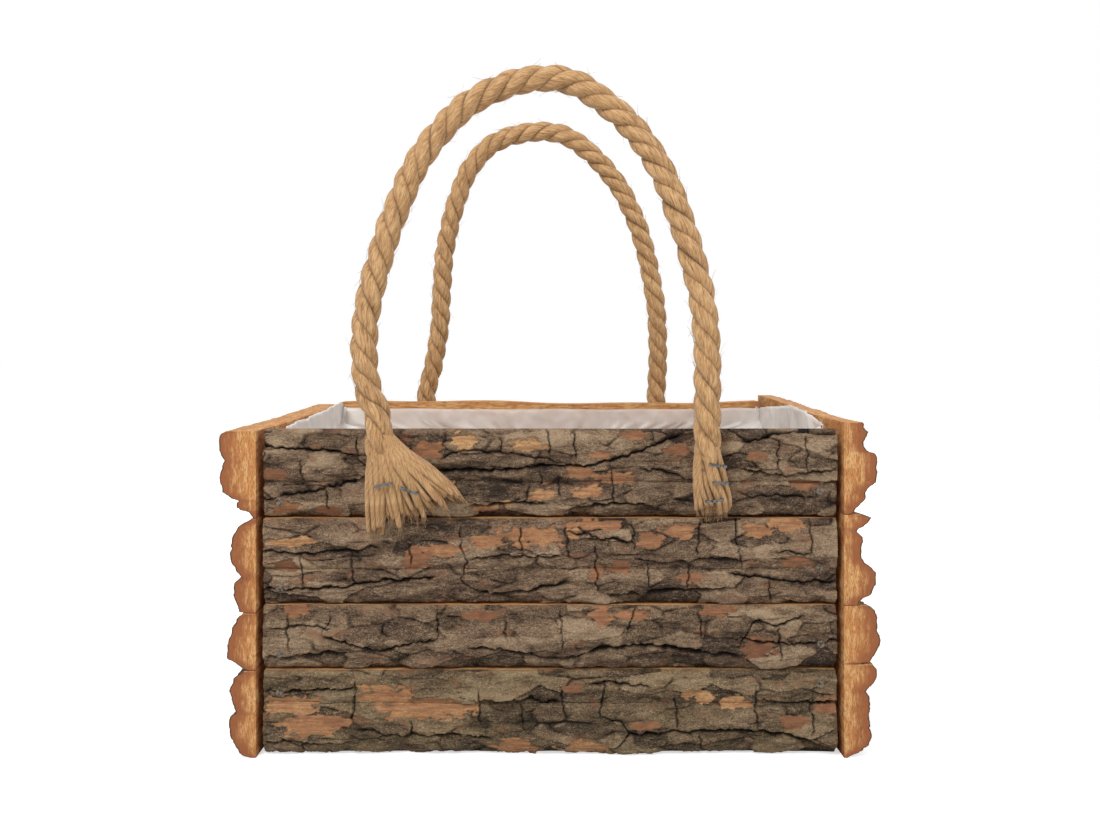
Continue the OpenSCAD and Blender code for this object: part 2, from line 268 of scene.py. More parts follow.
bpy.ops.mesh.primitive_plane_add(size=FLOOR_SIZE, location=(0, 0, 0))
floor = bpy.context.active_object
floor.name = "studio_floor"
paint, tree, shader = new_material("studio_white")
surface(tree, shader, FLOOR_GREY, 0.9)
glow = tree.nodes.new("ShaderNodeEmission")
ray = tree.nodes.new("ShaderNodeLightPath").outputs
feed(tree, glow.inputs["Strength"], times(tree, ray["Is Camera Ray"], FLOOR_GLOW))
lit = tree.nodes.new("ShaderNodeAddShader")
feed(tree, lit.inputs[0], shader.outputs[0])
feed(tree, lit.inputs[1], glow.outputs[0])
feed(tree, tree.nodes["Material Output"].inputs["Surface"], lit.outputs[0])
coat(floor.data, paint)

# %% [markdown]
# Bark can't be cut out of a few polygons. Each slab is a fine sheet of points that is pushed in and
# out by a height worked out from noise, as a sculptor would with a rough brush. Three kinds are enough:
# smooth noise for swellings, several octaves of it for roughness, and cells for the cracked plates.

# %% Noise for relief
HASH_X, HASH_Y, HASH_SEED, HASH_MIX = 374761393, 668265263, 974634777, 1274126177
BITS_32, BITS_24 = 0xFFFFFFFF, 0xFFFFFF
PLATE_JITTER = 0.8


def scatter(ix, iy, seed):
    """A repeatable number from 0 to 1 for each whole-numbered place."""
    h = (ix.astype(np.int64) * HASH_X + iy.astype(np.int64) * HASH_Y + seed * HASH_SEED) & BITS_32
    h = ((h ^ (h >> 13)) * HASH_MIX) & BITS_32
    return ((h ^ (h >> 16)) & BITS_24) / BITS_24


def smooth_noise(x, y, seed):
    """Noise from -1 to 1 that changes smoothly over one unit."""
    ix, iy = np.floor(x), np.floor(y)
    fx, fy = x - ix, y - iy
    sx, sy = (f * f * f * (f * (f * 6 - 15) + 10) for f in (fx, fy))
    total = 0.0
    for dx in (0, 1):
        for dy in (0, 1):
            turn = 2 * math.pi * scatter(ix + dx, iy + dy, seed)
            slope = np.cos(turn) * (fx - dx) + np.sin(turn) * (fy - dy)
            total = total + slope * (sx if dx else 1 - sx) * (sy if dy else 1 - sy)
    return total * 1.5


def rough_noise(x, y, seed, octaves):
    """Smooth noise in several sizes, each half as large and half as high as the one before."""
    total, size = 0.0, 1.0
    for k in range(octaves):
        total = total + size * smooth_noise(x * 2**k + 17 * k, y * 2**k - 9 * k, seed + k)
        size *= 0.5
    return total


def plates(x, y, seed):
    """How far a point is from the seam between its plate and the next, and a tone for each plate."""
    ix, iy = np.floor(x), np.floor(y)
    near = np.full(x.shape, 9.0)
    second = np.full(x.shape, 9.0)
    tone = np.zeros(x.shape)
    for dx in (-1, 0, 1):
        for dy in (-1, 0, 1):
            cell = ix + dx, iy + dy
            px, py = (
                c + 0.5 + PLATE_JITTER * (scatter(*cell, seed + k) - 0.5) for k, c in enumerate(cell)
            )
            d = np.hypot(x - px, y - py)
            closer = d < near
            second = np.where(closer, near, np.minimum(second, d))
            tone = np.where(closer, scatter(*cell, seed + 2), tone)
            near = np.where(closer, d, near)
    return second - near, tone


def step(low, high, x):
    """A smooth step from 0 at low to 1 at high."""
    t = np.clip((x - low) / (high - low), 0, 1)
    return t * t * (3 - 2 * t)


print("noise sample", np.round(smooth_noise(np.array([0.3, 5.2]), np.array([1.7, 2.2]), 1), 3))

# %% [markdown]
# What the photograph shows on the four front slabs is laid on, in pixels of the photograph: the
# long dark fissures between ridges of bark, the short upright cracks, and the orange scars where a
# flake has come away. A fissure is [points, width mm, depth mm, shelf mm]; with a shelf, the bark below
# it lies that much deeper and climbs back slowly, and a negative shelf lies above it. A scar is
# [left, right, top, bottom, tone], where tone goes from 0, brown red, to 1, yellow orange.

# %% Fissures, cracks and scars of the front slabs, top slab first
FRONT_FISSURES = [
    [
        [[(259, 446), (290, 449), (330, 450), (355, 456)], 1.0, 2.6, 1.2],
        [[(353, 460), (371, 469), (392, 474)], 0.8, 2.0, 0.0],
        [[(259, 500), (300, 494), (340, 484), (371, 476)], 0.9, 2.2, 1.0],
        [[(432, 474), (450, 473), (480, 473), (530, 470), (575, 467)], 1.3, 4.2, -3.2],
        [[(575, 467), (600, 464), (640, 452), (663, 440), (683, 431)], 0.9, 2.8, 0.8],
        [[(440, 462), (452, 452), (480, 450), (520, 455), (556, 462)], 0.7, 1.2, 1.4],
        [[(470, 508), (498, 505), (520, 504), (545, 506)], 1.0, 2.2, 1.8],
        [[(565, 514), (590, 507), (620, 504), (640, 506), (660, 512)], 1.0, 2.6, 1.6],
        [[(640, 470), (672, 474), (694, 480)], 0.8, 1.4, 0.8],
        [[(726, 425), (741, 436), (750, 440)], 0.8, 1.8, 0.0],
        [[(745, 442), (774, 434), (800, 429), (820, 426)], 1.0, 2.4, 1.2],
        [[(742, 470), (775, 476), (812, 474), (836, 470)], 0.8, 1.8, 1.2],
        [[(748, 500), (780, 496), (815, 499)], 0.8, 1.6, 0.6],
    ],
    [
        [[(262, 592), (300, 590), (348, 588), (366, 584), (400, 580), (433, 578)], 1.0, 2.8, 1.4],
        [[(262, 552), (300, 554), (340, 552), (380, 548)], 0.8, 1.6, 1.0],
        [[(478, 596), (500, 597), (530, 592), (569, 583)], 1.0, 2.6, 1.0],
        [[(569, 533), (600, 538), (629, 543)], 0.8, 2.0, 0.8],
        [[(610, 598), (640, 597), (680, 592), (725, 589)], 1.5, 3.0, 1.6],
        [[(730, 574), (765, 578), (803, 583), (838, 584)], 1.0, 2.6, 1.4],
        [[(777, 552), (795, 554), (812, 554)], 0.8, 1.8, 0.6],
        [[(636, 560), (670, 565), (706, 560), (736, 562)], 0.8, 1.6, 1.0],
        [[(470, 560), (510, 556), (560, 558)], 0.8, 1.4, 1.2],
    ],
    [
        [[(266, 660), (300, 658), (342, 654)], 1.2, 3.2, 1.2],
        [[(322, 636), (350, 645), (384, 654), (395, 647), (435, 641)], 0.9, 2.6, 1.2],
        [[(470, 648), (510, 652), (562, 663)], 0.9, 2.0, 0.8],
        [[(562, 663), (607, 649), (652, 647), (696, 654), (741, 661)], 1.5, 4.2, -1.6],
        [[(739, 649), (754, 623), (785, 625), (803, 616)], 0.9, 2.4, 0.6],
        [[(270, 630), (300, 626), (330, 628)], 0.8, 1.4, 0.6],
        [[(740, 640), (790, 646), (840, 642)], 0.9, 2.0, 1.0],
    ],
    [
        [[(473, 701), (500, 703), (530, 702), (560, 703)], 0.9, 2.8, 1.0],
        [[(263, 694), (300, 692), (353, 690)], 0.9, 2.4, 1.0],
        [[(614, 750), (629, 737), (674, 732), (705, 733), (741, 731), (785, 735), (830, 750)], 1.1, 3.4, 1.6],
        [[(590, 686), (606, 682), (620, 684), (650, 688)], 0.8, 2.2, 0.6],
        [[(355, 732), (400, 738), (450, 736), (490, 740)], 0.9, 2.2, 1.2],
        [[(600, 718), (622, 722), (632, 736)], 0.8, 1.8, 0.0],
        [[(756, 700), (790, 706), (838, 704)], 0.8, 1.8, 0.8],
        [[(263, 742), (300, 746), (350, 744)], 0.8, 1.8, 0.8],
    ],
]
FRONT_CRACKS = [
    [
        [(446, 432), (444, 445), (449, 452)], [(501, 438), (501, 453)], [(547, 430), (551, 457)],
        [(540, 473), (541, 486)], [(528, 486), (526, 505)], [(558, 478), (560, 498)],
        [(356, 438), (357, 458)], [(262, 428), (263, 470)], [(612, 470), (614, 502)],
        [(652, 430), (655, 442)], [(780, 440), (778, 470)], [(806, 436), (808, 472)],
        [(300, 462), (301, 482)], [(325, 488), (327, 512)], [(574, 432), (576, 460)],
    ],
    [
        [(460, 530), (460, 545), (467, 562), (460, 580), (478, 596)], [(736, 517), (736, 536), (743, 569)],
        [(409, 545), (411, 566)], [(520, 527), (522, 552)], [(565, 528), (569, 560)],
        [(632, 522), (635, 550)], [(700, 520), (698, 556)], [(811, 520), (813, 556)],
        [(300, 552), (302, 588)], [(350, 550), (352, 586)], [(595, 545), (598, 592)],
        [(648, 566), (650, 590)], [(690, 566), (688, 588)], [(770, 582), (772, 606)],
    ],
    [
        [(330, 618), (322, 634)], [(636, 607), (627, 634)], [(382, 626), (383, 636)],
        [(505, 620), (506, 640)], [(436, 612), (438, 640)], [(560, 612), (563, 650)],
        [(700, 612), (702, 640)], [(780, 628), (782, 660)], [(286, 616), (288, 650)],
    ],
    [
        [(355, 682), (352, 724)], [(478, 690), (480, 726)], [(560, 690), (566, 720)],
        [(606, 682), (600, 718)], [(676, 700), (678, 730)], [(756, 690), (758, 728)],
        [(812, 700), (814, 735)], [(410, 722), (412, 740)], [(520, 704), (524, 730)],
        [(300, 742), (302, 756)], [(700, 734), (702, 752)],
    ],
]
FRONT_SCARS = [
    [
        [449, 478, 432, 451, 0.95], [502, 548, 439, 452, 0.9], [410, 444, 440, 462, 0.35],
        [440, 457, 480, 497, 0.9], [468, 503, 504, 517, 0.6], [496, 515, 501, 508, 0.95],
        [528, 557, 490, 503, 0.7], [558, 600, 466, 480, 0.5], [570, 604, 486, 500, 0.6],
        [592, 636, 472, 484, 0.6], [620, 652, 430, 440, 0.3], [590, 612, 452, 460, 0.45],
        [262, 288, 466, 482, 0.2], [270, 300, 502, 514, 0.4], [312, 340, 508, 517, 0.4],
        [660, 690, 444, 456, 0.3], [745, 770, 452, 462, 0.25], [790, 818, 480, 492, 0.3],
    ],
    [
        [262, 316, 537, 548, 0.75], [400, 432, 546, 574, 0.3], [420, 462, 544, 556, 0.5],
        [467, 505, 534, 548, 0.55], [494, 565, 526, 548, 0.55], [565, 584, 528, 540, 0.8],
        [566, 626, 519, 532, 0.5], [636, 664, 530, 550, 0.4], [658, 698, 523, 540, 0.5],
        [739, 778, 524, 538, 0.55], [770, 808, 517, 532, 0.6], [270, 300, 560, 574, 0.2],
        [610, 634, 562, 576, 0.25], [676, 706, 572, 584, 0.3], [590, 604, 566, 582, 0.4],
        [780, 812, 556, 570, 0.3],
    ],
    [
        [590, 612, 606, 626, 0.45], [618, 650, 611, 622, 0.5], [740, 778, 634, 660, 0.15],
        [460, 500, 610, 622, 0.2], [280, 310, 606, 618, 0.25], [700, 736, 606, 618, 0.3],
    ],
    [
        [263, 320, 697, 716, 0.7], [276, 352, 712, 738, 0.55], [355, 410, 684, 706, 0.6],
        [372, 476, 698, 722, 0.65], [488, 541, 738, 758, 0.6], [553, 612, 741, 757, 0.75],
        [680, 697, 688, 702, 0.75], [694, 714, 692, 706, 0.85], [720, 752, 697, 710, 0.8],
        [779, 812, 714, 730, 0.2], [815, 841, 695, 718, 0.35], [560, 584, 684, 694, 0.25],
        [632, 660, 720, 732, 0.25],
    ],
]
print("laid on by hand:", [len(f) for f in FRONT_FISSURES], [len(c) for c in FRONT_CRACKS])

# %% [markdown]
# The side slabs turn their sawn ends to the camera, and these outlines are the basket's silhouette, so
# each was followed in the enlarged photograph, from its lower corner up to its upper one.

# %% Outlines of the sawn ends, in pixels of the photograph, top slab first
LEFT_ENDS = [
    [
        (255.6, 517), (248, 513), (240, 511), (237, 508), (236, 503.5), (239, 501), (233, 499), (227, 496),
        (221.6, 492), (220.8, 484), (220, 476), (221, 469), (223.7, 461), (220.5, 456), (219, 451),
        (218, 440), (221.6, 433), (226, 430.5),
    ],
    [
        (250, 612), (239, 612), (237.4, 606), (234.6, 598), (232.8, 588), (234, 583), (241, 577),
        (239.5, 574), (234, 568), (230.4, 563), (229, 555), (230.4, 545), (233, 535), (238, 527),
        (246.5, 523), (252, 518.5),
    ],
    [
        (248, 669), (241.5, 667.5), (234, 662), (226.3, 658), (227.4, 650), (229.5, 638), (232.8, 627),
        (237, 619), (242, 614),
    ],
    [
        (251, 758), (241.5, 755), (236, 747.5), (230.6, 738), (228.7, 727), (230, 717), (235.5, 712),
        (231.7, 703), (230, 692), (232.8, 678), (243.6, 671),
    ],
]
RIGHT_ENDS = [
    [
        (849, 513), (853.8, 512.5), (856.6, 508), (860, 505), (864.6, 498.5), (865.4, 492), (867.8, 488),
        (874, 484.5), (877.6, 480), (878.7, 472.5), (876.6, 467), (877.3, 460), (876.2, 454), (873.4, 451.5),
        (867, 450), (864.3, 447), (863.2, 442), (867, 436), (868.2, 432), (863.6, 427), (865, 423.5),
        (862.9, 421),
    ],
    [
        (858, 603), (863, 598), (870.6, 595), (876.2, 586), (875, 579), (876, 573), (871.3, 568),
        (864.3, 563), (863, 557.6), (861.5, 548.5), (863.6, 538), (858, 531.5), (863, 528),
        (867.8, 523), (872, 518), (862, 516),
    ],
    [
        (857, 664), (861.8, 664), (869.6, 662), (875, 656), (879.7, 647), (881.4, 640), (877.5, 630),
        (878, 617), (874, 610), (866.3, 607.5),
    ],
    [
        (846, 756), (851.8, 755), (861.8, 752), (868, 746), (872.4, 737), (872, 726), (868.5, 715),
        (870.8, 706), (869.6, 697), (866.3, 691.6), (872, 685), (876, 678), (877, 670), (872, 665),
    ],
]

# %% [markdown]
# A slab starts as a flat grid as long as the slab and as wide as its bark is round. In edit mode its
# rim is extruded backwards in rings, which become the sawn edges and ends, and the last ring is filled
# as the sawn face. Every point still shows where it came from: x along the slab, y round the bark and z
# the ring. Moving the points to their real places is then one calculation.

# %% Slab building
EDGE_RINGS = 7
BULGE_STEPS = 9
TINY = 1e-6


def select_only(*objects):
    bpy.ops.object.select_all(action="DESELECT")
    for obj in objects:
        obj.select_set(True)
    bpy.context.view_layer.objects.active = objects[0]


def bark_sheet(name, along, around):
    """A grid of unit size with its rim extruded back in rings and closed behind."""
    bpy.ops.object.select_all(action="DESELECT")
    bpy.ops.mesh.primitive_grid_add(x_subdivisions=along, y_subdivisions=around, size=1)
    slab = bpy.context.active_object
    slab.name = name
    bpy.ops.object.mode_set(mode="EDIT")
    bpy.ops.mesh.select_mode(type="EDGE")
    bpy.ops.mesh.select_all(action="DESELECT")
    bpy.ops.mesh.select_non_manifold()
    for _ in range(EDGE_RINGS):
        bpy.ops.mesh.extrude_edges_move(TRANSFORM_OT_translate={"value": (0, 0, -1)})
    bpy.ops.mesh.edge_face_add()
    bpy.ops.object.mode_set(mode="OBJECT")
    return slab


def points_of(obj):
    flat = np.empty(len(obj.data.vertices) * 3)
    obj.data.vertices.foreach_get("co", flat)
    return flat.reshape(-1, 3)


def put_points(obj, points):
    obj.data.vertices.foreach_set("co", np.ascontiguousarray(points, dtype=np.float64).ravel())
    obj.data.update()


def store(obj, name, values):
    """Keeps a number for every point, for the material to read."""
    layer = obj.data.attributes.new(name, "FLOAT", "POINT")
    layer.data.foreach_set("value", np.ascontiguousarray(values, dtype=np.float32))


def run_along(points):
    """How far along a line each of its points lies."""
    return np.concatenate([[0], np.cumsum(np.linalg.norm(np.diff(points, axis=0), axis=1))])


def sampled(at, run, points):
    """The places on a line that are at these distances along it."""
    return np.stack([np.interp(at, run, column) for column in points.T], axis=1)


def even_outline(points, count):
    """count + 1 points evenly spaced along an outline, and its length."""
    points = np.array(points, float)
    run = run_along(points)
    return sampled(np.linspace(0, run[-1], count + 1), run, points), run[-1]


def soft_rows(rows, reach):
    """Each row averaged with its neighbours, as many as reach to either side."""
    padded = np.pad(rows, ((reach, reach), (0, 0)), mode="edge")
    width = 2 * reach + 1
    return np.stack([np.convolve(column, np.ones(width) / width, "valid") for column in padded.T], axis=1)


def unit(rows):
    return rows / np.maximum(np.linalg.norm(rows, axis=-1, keepdims=True), TINY)


def bulging_outline(knots, height, thick):
    """The bark's outline from [share of height, dip] knots, with quarter ellipses between them."""
    line = []
    for a, b in zip(knots, knots[1:]):
        for t in np.linspace(0, math.pi / 2, BULGE_STEPS):
            if a[1] > b[1]:
                share, dip = b[0] - math.cos(t) * (b[0] - a[0]), a[1] - math.sin(t) * (a[1] - b[1])
            else:
                share, dip = a[0] + math.sin(t) * (b[0] - a[0]), b[1] - math.cos(t) * (b[1] - a[1])
            line.append((share * height, thick - dip))
    return line


# %% [markdown]
# The height of the bark over its smooth outline is the sum of what happened to the tree: slow swellings,
# plates with cracks between them, flaking layers, a fine grain along the trunk, and then the fissures
# and scars that are laid on. The same places are kept as numbers that colour the material later, with
# painted shade in the fissures, cracks and plate seams, and the height, by which the low bark is painted
# darker as shade.

# %% Bark relief
SHELF_CLIMB, SHELF_DROP = 4.2, 0.5
SHELF_SHADE, MOST_SHADED = 0.24, 3.0
CRACK_DEPTH, CRACK_SHADE = 1.6, 0.85
SCAR_CORNER = 2.4
AREA_PER_FISSURE, AREA_PER_CRACK, AREA_PER_SCAR = 1500, 1000, 900


def fade_between(x, low, high, soft):
    """1 between low and high, and 0 outside, with soft ends."""
    return step(low - soft, low + soft, x) * (1 - step(high - soft, high + soft, x))


def carve_fissure(u, v, fissure, seed):
    """Depth in mm of one long fissure, and a mask from 0 to 1 of the painted shade in it and beside it on its
    shelf.
    """
    path, width, depth, shelf = fissure
    path = np.array(path, float)
    wander = 1.5 * smooth_noise(u / 7.5, u * 0 + seed, seed) + 0.7 * smooth_noise(u / 2.3, v / 3, seed + 3)
    off = v - np.interp(u, path[:, 0], path[:, 1]) - wander
    reach = fade_between(u, path[0, 0], path[-1, 0], 3.5)
    wide = width * (0.75 + 0.95 * smooth_noise(u / 9, v / 6, seed + 7))
    core = np.exp(-((off / np.maximum(wide, 0.35)) ** 2))
    side = off if shelf < 0 else -off
    slope = np.where(side > 0, np.exp(-side / SHELF_CLIMB), np.exp(side / SHELF_DROP))
    uneven = 0.75 + 0.5 * smooth_noise(u / 3, v / 1.5, seed + 9)
    shade = np.maximum(core, SHELF_SHADE * min(abs(shelf), MOST_SHADED) * slope * uneven)
    return reach * (depth * core + abs(shelf) * slope), reach * np.clip(shade, 0, 1)


def carve_crack(u, v, path, seed):
    """Depth of one of the short upright cracks, and a mask of the painted shade in it."""
    path = np.array(sorted(path, key=lambda p: p[1]), float)
    wander = 1.3 * smooth_noise(v / 4.5, v * 0 + seed, seed) + 0.5 * smooth_noise(v / 1.4, u / 3, seed + 1)
    off = u - np.interp(v, path[:, 1], path[:, 0]) - wander
    reach = fade_between(v, path[0, 1], path[-1, 1], 2.2)
    core = np.exp(-((off / (0.45 + 0.25 * smooth_noise(v / 2, v * 0, seed + 2))) ** 2))
    return reach * CRACK_DEPTH * core, CRACK_SHADE * reach * core


def scar_mask(u, v, scar, seed):
    """1 inside a scar with a ragged edge, 0 outside."""
    left, right, low, high = scar
    x = (u - (left + right) / 2) / max(1, (right - left) / 2)
    y = (v - (low + high) / 2) / max(1, (high - low) / 2)
    edge = (np.abs(x) ** SCAR_CORNER + np.abs(y) ** SCAR_CORNER) ** (1 / SCAR_CORNER)
    edge = edge + 0.42 * smooth_noise(u / 9, v / 4, seed) + 0.30 * rough_noise(u / 4.5, v / 1.8, seed + 1, 3)
    return 1 - step(0.84, 0.96, edge)


def random_features(length, height, seed):
    """Fissures, cracks and scars for a slab that the photograph doesn't show."""
    pick = np.random.default_rng(seed)
    fissures, cracks, scars = [], [], []
    for _ in range(int(length * height / AREA_PER_FISSURE)):
        x = pick.uniform(-10, length - 30)
        y = pick.uniform(0.12, 0.88) * height
        run = pick.uniform(30, 90)
        drift = pick.uniform(-3, 3, 5)
        path = [(x + run * k / 4, y + drift[k]) for k in range(5)]
        fissures.append([path, pick.uniform(0.7, 1.2), pick.uniform(1.4, 3.2), pick.uniform(0.4, 1.8)])
    for _ in range(int(length * height / AREA_PER_CRACK)):
        x, y = pick.uniform(4, length - 4), pick.uniform(0, 0.7) * height
        cracks.append([(x, y), (x + pick.uniform(-2, 2), y + pick.uniform(6, 14))])
    for _ in range(int(length * height / AREA_PER_SCAR)):
        x, y = pick.uniform(0, length - 14), pick.uniform(0.02, 0.85) * height
        wide, high = pick.uniform(8, 28), pick.uniform(4, 11)
        scars.append([x, x + wide, y, y + high, pick.uniform(0.15, 0.8)])
    return fissures, cracks, scars


def bark_relief(u, v, seed, features):
    """Height in mm over the outline, and the masks that colour the bark, painted shade among them."""
    fissures, cracks, scars = features
    # slow swellings
    bend = 2.2 * smooth_noise(u / 19, v / 9, seed + 40)
    height = 1.5 * smooth_noise(u / 34, v / 12, seed) + 0.95 * smooth_noise(u / 13, v / 5.5, seed + 1)
    # plates, with a seam between them where the bark has broken
    gap, tone = plates(u / 23 + 0.1 * bend, (v + bend) / 8.5, seed + 5)
    broken = step(-0.15, 0.35, smooth_noise(u / 15, v / 7, seed + 9))
    seam = (1 - step(0.02, 0.13, gap)) * broken
    height = height + 1.5 * (tone - 0.5) - 0.9 * seam
    # flaking layers, then grain and grit
    flake = rough_noise(u / 12, v / 3.4, seed + 12, 3) * 1.7
    layer = np.floor(flake) + step(0.72, 1.0, flake - np.floor(flake))
    grain = rough_noise(u / 4.2, v / 1.25, seed + 20, 3)
    grit = smooth_noise(u / 0.95, v / 0.8, seed + 30)
    height = height + 0.42 * layer + 0.36 * grain + 0.20 * grit

    # scars, which lie lower and calmer than the bark round them
    scar, scar_tone = np.zeros(u.shape), np.full(u.shape, 0.5)
    for k, (*edges, hue) in enumerate(scars):
        mask = scar_mask(u, v, edges, seed + 50 + k)
        scar_tone = np.where(mask > scar, hue, scar_tone)
        scar = np.maximum(scar, mask)
    under = rough_noise(u / 16, v / 2.6, seed + 90, 2)
    bare = 0.55 * smooth_noise(u / 30, v / 11, seed) - 0.55 + 0.20 * under + 0.10 * grain
    height = height * (1 - 0.82 * scar) + bare * scar

    # fissures and cracks, cut through all of it; they and the plate seams get painted shade, and high keeps
    # how far the bark stands up, for painted shade in its low places
    high = np.clip(0.5 + height / 4.5, 0, 1)
    recess_shade = 0.42 * seam * (1 - scar)
    cuts = [carve_fissure(u, v, fissure, seed + 110 + 3 * k) for k, fissure in enumerate(fissures)]
    cuts += [carve_crack(u, v, path, seed + 210 + k) for k, path in enumerate(cracks)]
    for depth, mask in cuts:
        height = height - depth
        recess_shade = np.maximum(recess_shade, mask)
    recess_shade = np.clip(recess_shade, 0, 1)
    return height, {"recess_shade": recess_shade, "scar": scar, "scar_tone": scar_tone, "plate": tone, "high": high}


# %% [markdown]
# Each wall has its own frame: u runs along it, v up, and w out from the sawn face. The slab's box in the
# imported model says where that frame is. The ends of the side slabs follow the photographed outlines
# and drift towards a plainer outline over the first few centimetres, as a tree trunk's would.

# %% Where each wall lies
# out is the axis that the bark faces, sign its way along it, and face the low or high side of the box
WALLS = {
    "front": {"along": 0, "out": 1, "sign": -1, "face": 1},
    "rear": {"along": 0, "out": 1, "sign": 1, "face": 0},
    "left": {"along": 1, "out": 0, "sign": -1, "face": 1},
    "right": {"along": 1, "out": 0, "sign": 1, "face": 0},
}
FRONT_FORMS = [
    [[0, 9], [0.2, 1.5], [0.4, 4], [0.66, 0], [1, 4.5]],
    [[0, 8], [0.2, 1.5], [0.42, 3.5], [0.72, 0], [1, 2.5]],
    [[0, 8], [0.45, 0], [1, 3.5]],
    [[0, 9], [0.3, 0], [0.62, 3.5], [0.82, 1], [1, 4]],
]


def slab_place(name, wall):
    """Low corner of a slab's own frame, its length, height and thickness, in mm."""
    low, high = (np.array(c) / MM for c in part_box(name))
    side = WALLS[wall]
    face = (low, high)[side["face"]][side["out"]]
    size = high - low
    return low[side["along"]], low[2], face, size[side["along"]], size[2], size[side["out"]]


def end_outline(pixels, wall, name):
    """A photographed end outline as (v, w) in mm."""
    _, base, face, _, height, _ = slab_place(name, wall)
    line = []
    for px, py in pixels:
        x, z = from_photo(px, py)
        out = (x - face) * WALLS[wall]["sign"]
        line.append((min(max(z - base, 0), height), max(out, 1.5)))
    line[0], line[-1] = (0, line[0][1]), (height, line[-1][1])
    return line


# %% [markdown]
# All of a slab comes together here: the outline gives each point its place across the slab, the relief
# pushes it out of the outline, and the nail heads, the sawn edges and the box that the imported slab
# allows hold it back. What colours the material is stored beside the points.

# %% One slab
END_REACH = 34.0         # mm over which a photographed end turns into the calmer outline
END_CALM = 0.55          # how much of the relief is taken off at such an end
RING_CROWDING = 1.8      # draws the rings of the sawn faces together under the bark
CREST_KEPT = 0.35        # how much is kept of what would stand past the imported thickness
LEAST_BARK, MOST_PAST = 1.2, 1.2
HEAD_REACH, HEAD_SUNK = 3.2, 0.25
RIM_DEPTH = 9.0          # the sawn rim is coloured like wood that lies this deep
CREASE_ANGLE = math.radians(50)
NAIL_APART = 5


def outline_normals(line):
    """The way out of an outline at each of its points."""
    slant = np.gradient(line, axis=0)
    return soft_rows(unit(np.stack([-slant[:, 1], slant[:, 0]], axis=1)), 4)


def shape_slab(name, wall, outline, spacing, features, seed, calm=None, slope=0.0, lift=None):
    """Makes one slab. Where a calm outline is given, the first one is kept to the slab's front end."""
    start, base, face, length, height, thick = slab_place(name, wall)
    rest = outline if calm is None else calm
    along = int(length / spacing)
    around = int(even_outline(rest, 4)[1] / spacing)
    slab = bark_sheet("bark_" + name, along, around)
    raw = points_of(slab)
    share_u, share_t = raw[:, 0] + 0.5, raw[:, 1] + 0.5
    ring = (np.clip(np.round(-raw[:, 2]), 0, EDGE_RINGS) / EDGE_RINGS) ** RING_CROWDING
    row = np.clip(np.round(share_t * around).astype(int), 0, around)
    u = share_u * length
    near_end = np.exp(-((u / END_REACH) ** 2))
    own_end = np.zeros(len(u)) if calm is None else near_end

    first, later = even_outline(outline, around)[0], even_outline(rest, around)[0]
    drift = 0.09 * smooth_noise(u / 42, u * 0 + 2, seed + 310)
    drift = drift + 0.03 * smooth_noise(u / 13, u * 0, seed + 311)
    shifted = share_t + drift * np.sin(math.pi * share_t) * (1 - own_end)
    wandering = sampled(shifted, np.linspace(0, 1, around + 1), later)
    v0, w0 = first[row].T * own_end + wandering.T * (1 - own_end)

    relief, masks = bark_relief(u, v0, seed, features)
    push = (relief * (1 - END_CALM * own_end))[:, None] * outline_normals(later)[row]
    swing = 1.6 * smooth_noise(u / 55, v0 / 30, seed + 300) * (1 - 0.8 * near_end)
    v = np.clip(v0 + push[:, 0], 0.05, height - 0.05)
    v = np.where(row == 0, 0, np.where(row == around, height, v))
    w = w0 + push[:, 1] + swing
    crest = thick - 0.1
    w = np.where(w > crest, crest + CREST_KEPT * (w - crest), w)
    w = np.clip(w, LEAST_BARK, thick + MOST_PAST)
    for nail_u, nail_v, nail_w in nail_heads(name, wall):
        near = np.exp(-((np.hypot(u - nail_u, v0 - nail_v) / HEAD_REACH) ** 4))
        w = w * (1 - near) + (nail_w - HEAD_SUNK) * near
    under_bark = ring * w + RIM_DEPTH * (row == around) * (ring > 0)
    w = w * (1 - ring)
    if slope:
        v = v - slope * step(0.75, 1.0, v / height) * (1 - w / thick)
    if lift is not None:
        v = v + lift(share_u) * step(0.7, 1.0, v / height)

    side = WALLS[wall]
    out = np.empty_like(raw)
    out[:, side["along"]] = start + u
    out[:, side["out"]] = face + side["sign"] * w
    out[:, 2] = base + v
    put_points(slab, out * MM)
    masks.update(under_bark=under_bark, sawn=(ring > 0).astype(float))
    for key, values in masks.items():
        store(slab, key, values)

    select_only(slab)
    bpy.ops.object.mode_set(mode="EDIT")
    bpy.ops.mesh.select_all(action="SELECT")
    bpy.ops.mesh.normals_make_consistent(inside=False)
    bpy.ops.object.mode_set(mode="OBJECT")
    bpy.ops.object.shade_smooth_by_angle(angle=CREASE_ANGLE)
    return slab


def nail_heads(name, wall):
    """(u, v, w) in mm of the nail heads that lie in a slab's bark."""
    start, base, face, length, height, _ = slab_place(name, wall)
    side = WALLS[wall]
    found = []
    for centre in NAIL_CENTRES[wall]:
        u = centre[side["along"]] - start
        v = centre[2] - base
        if 0 < v < height:
            found.append((u, v, (centre[side["out"]] - face) * side["sign"]))
    return found


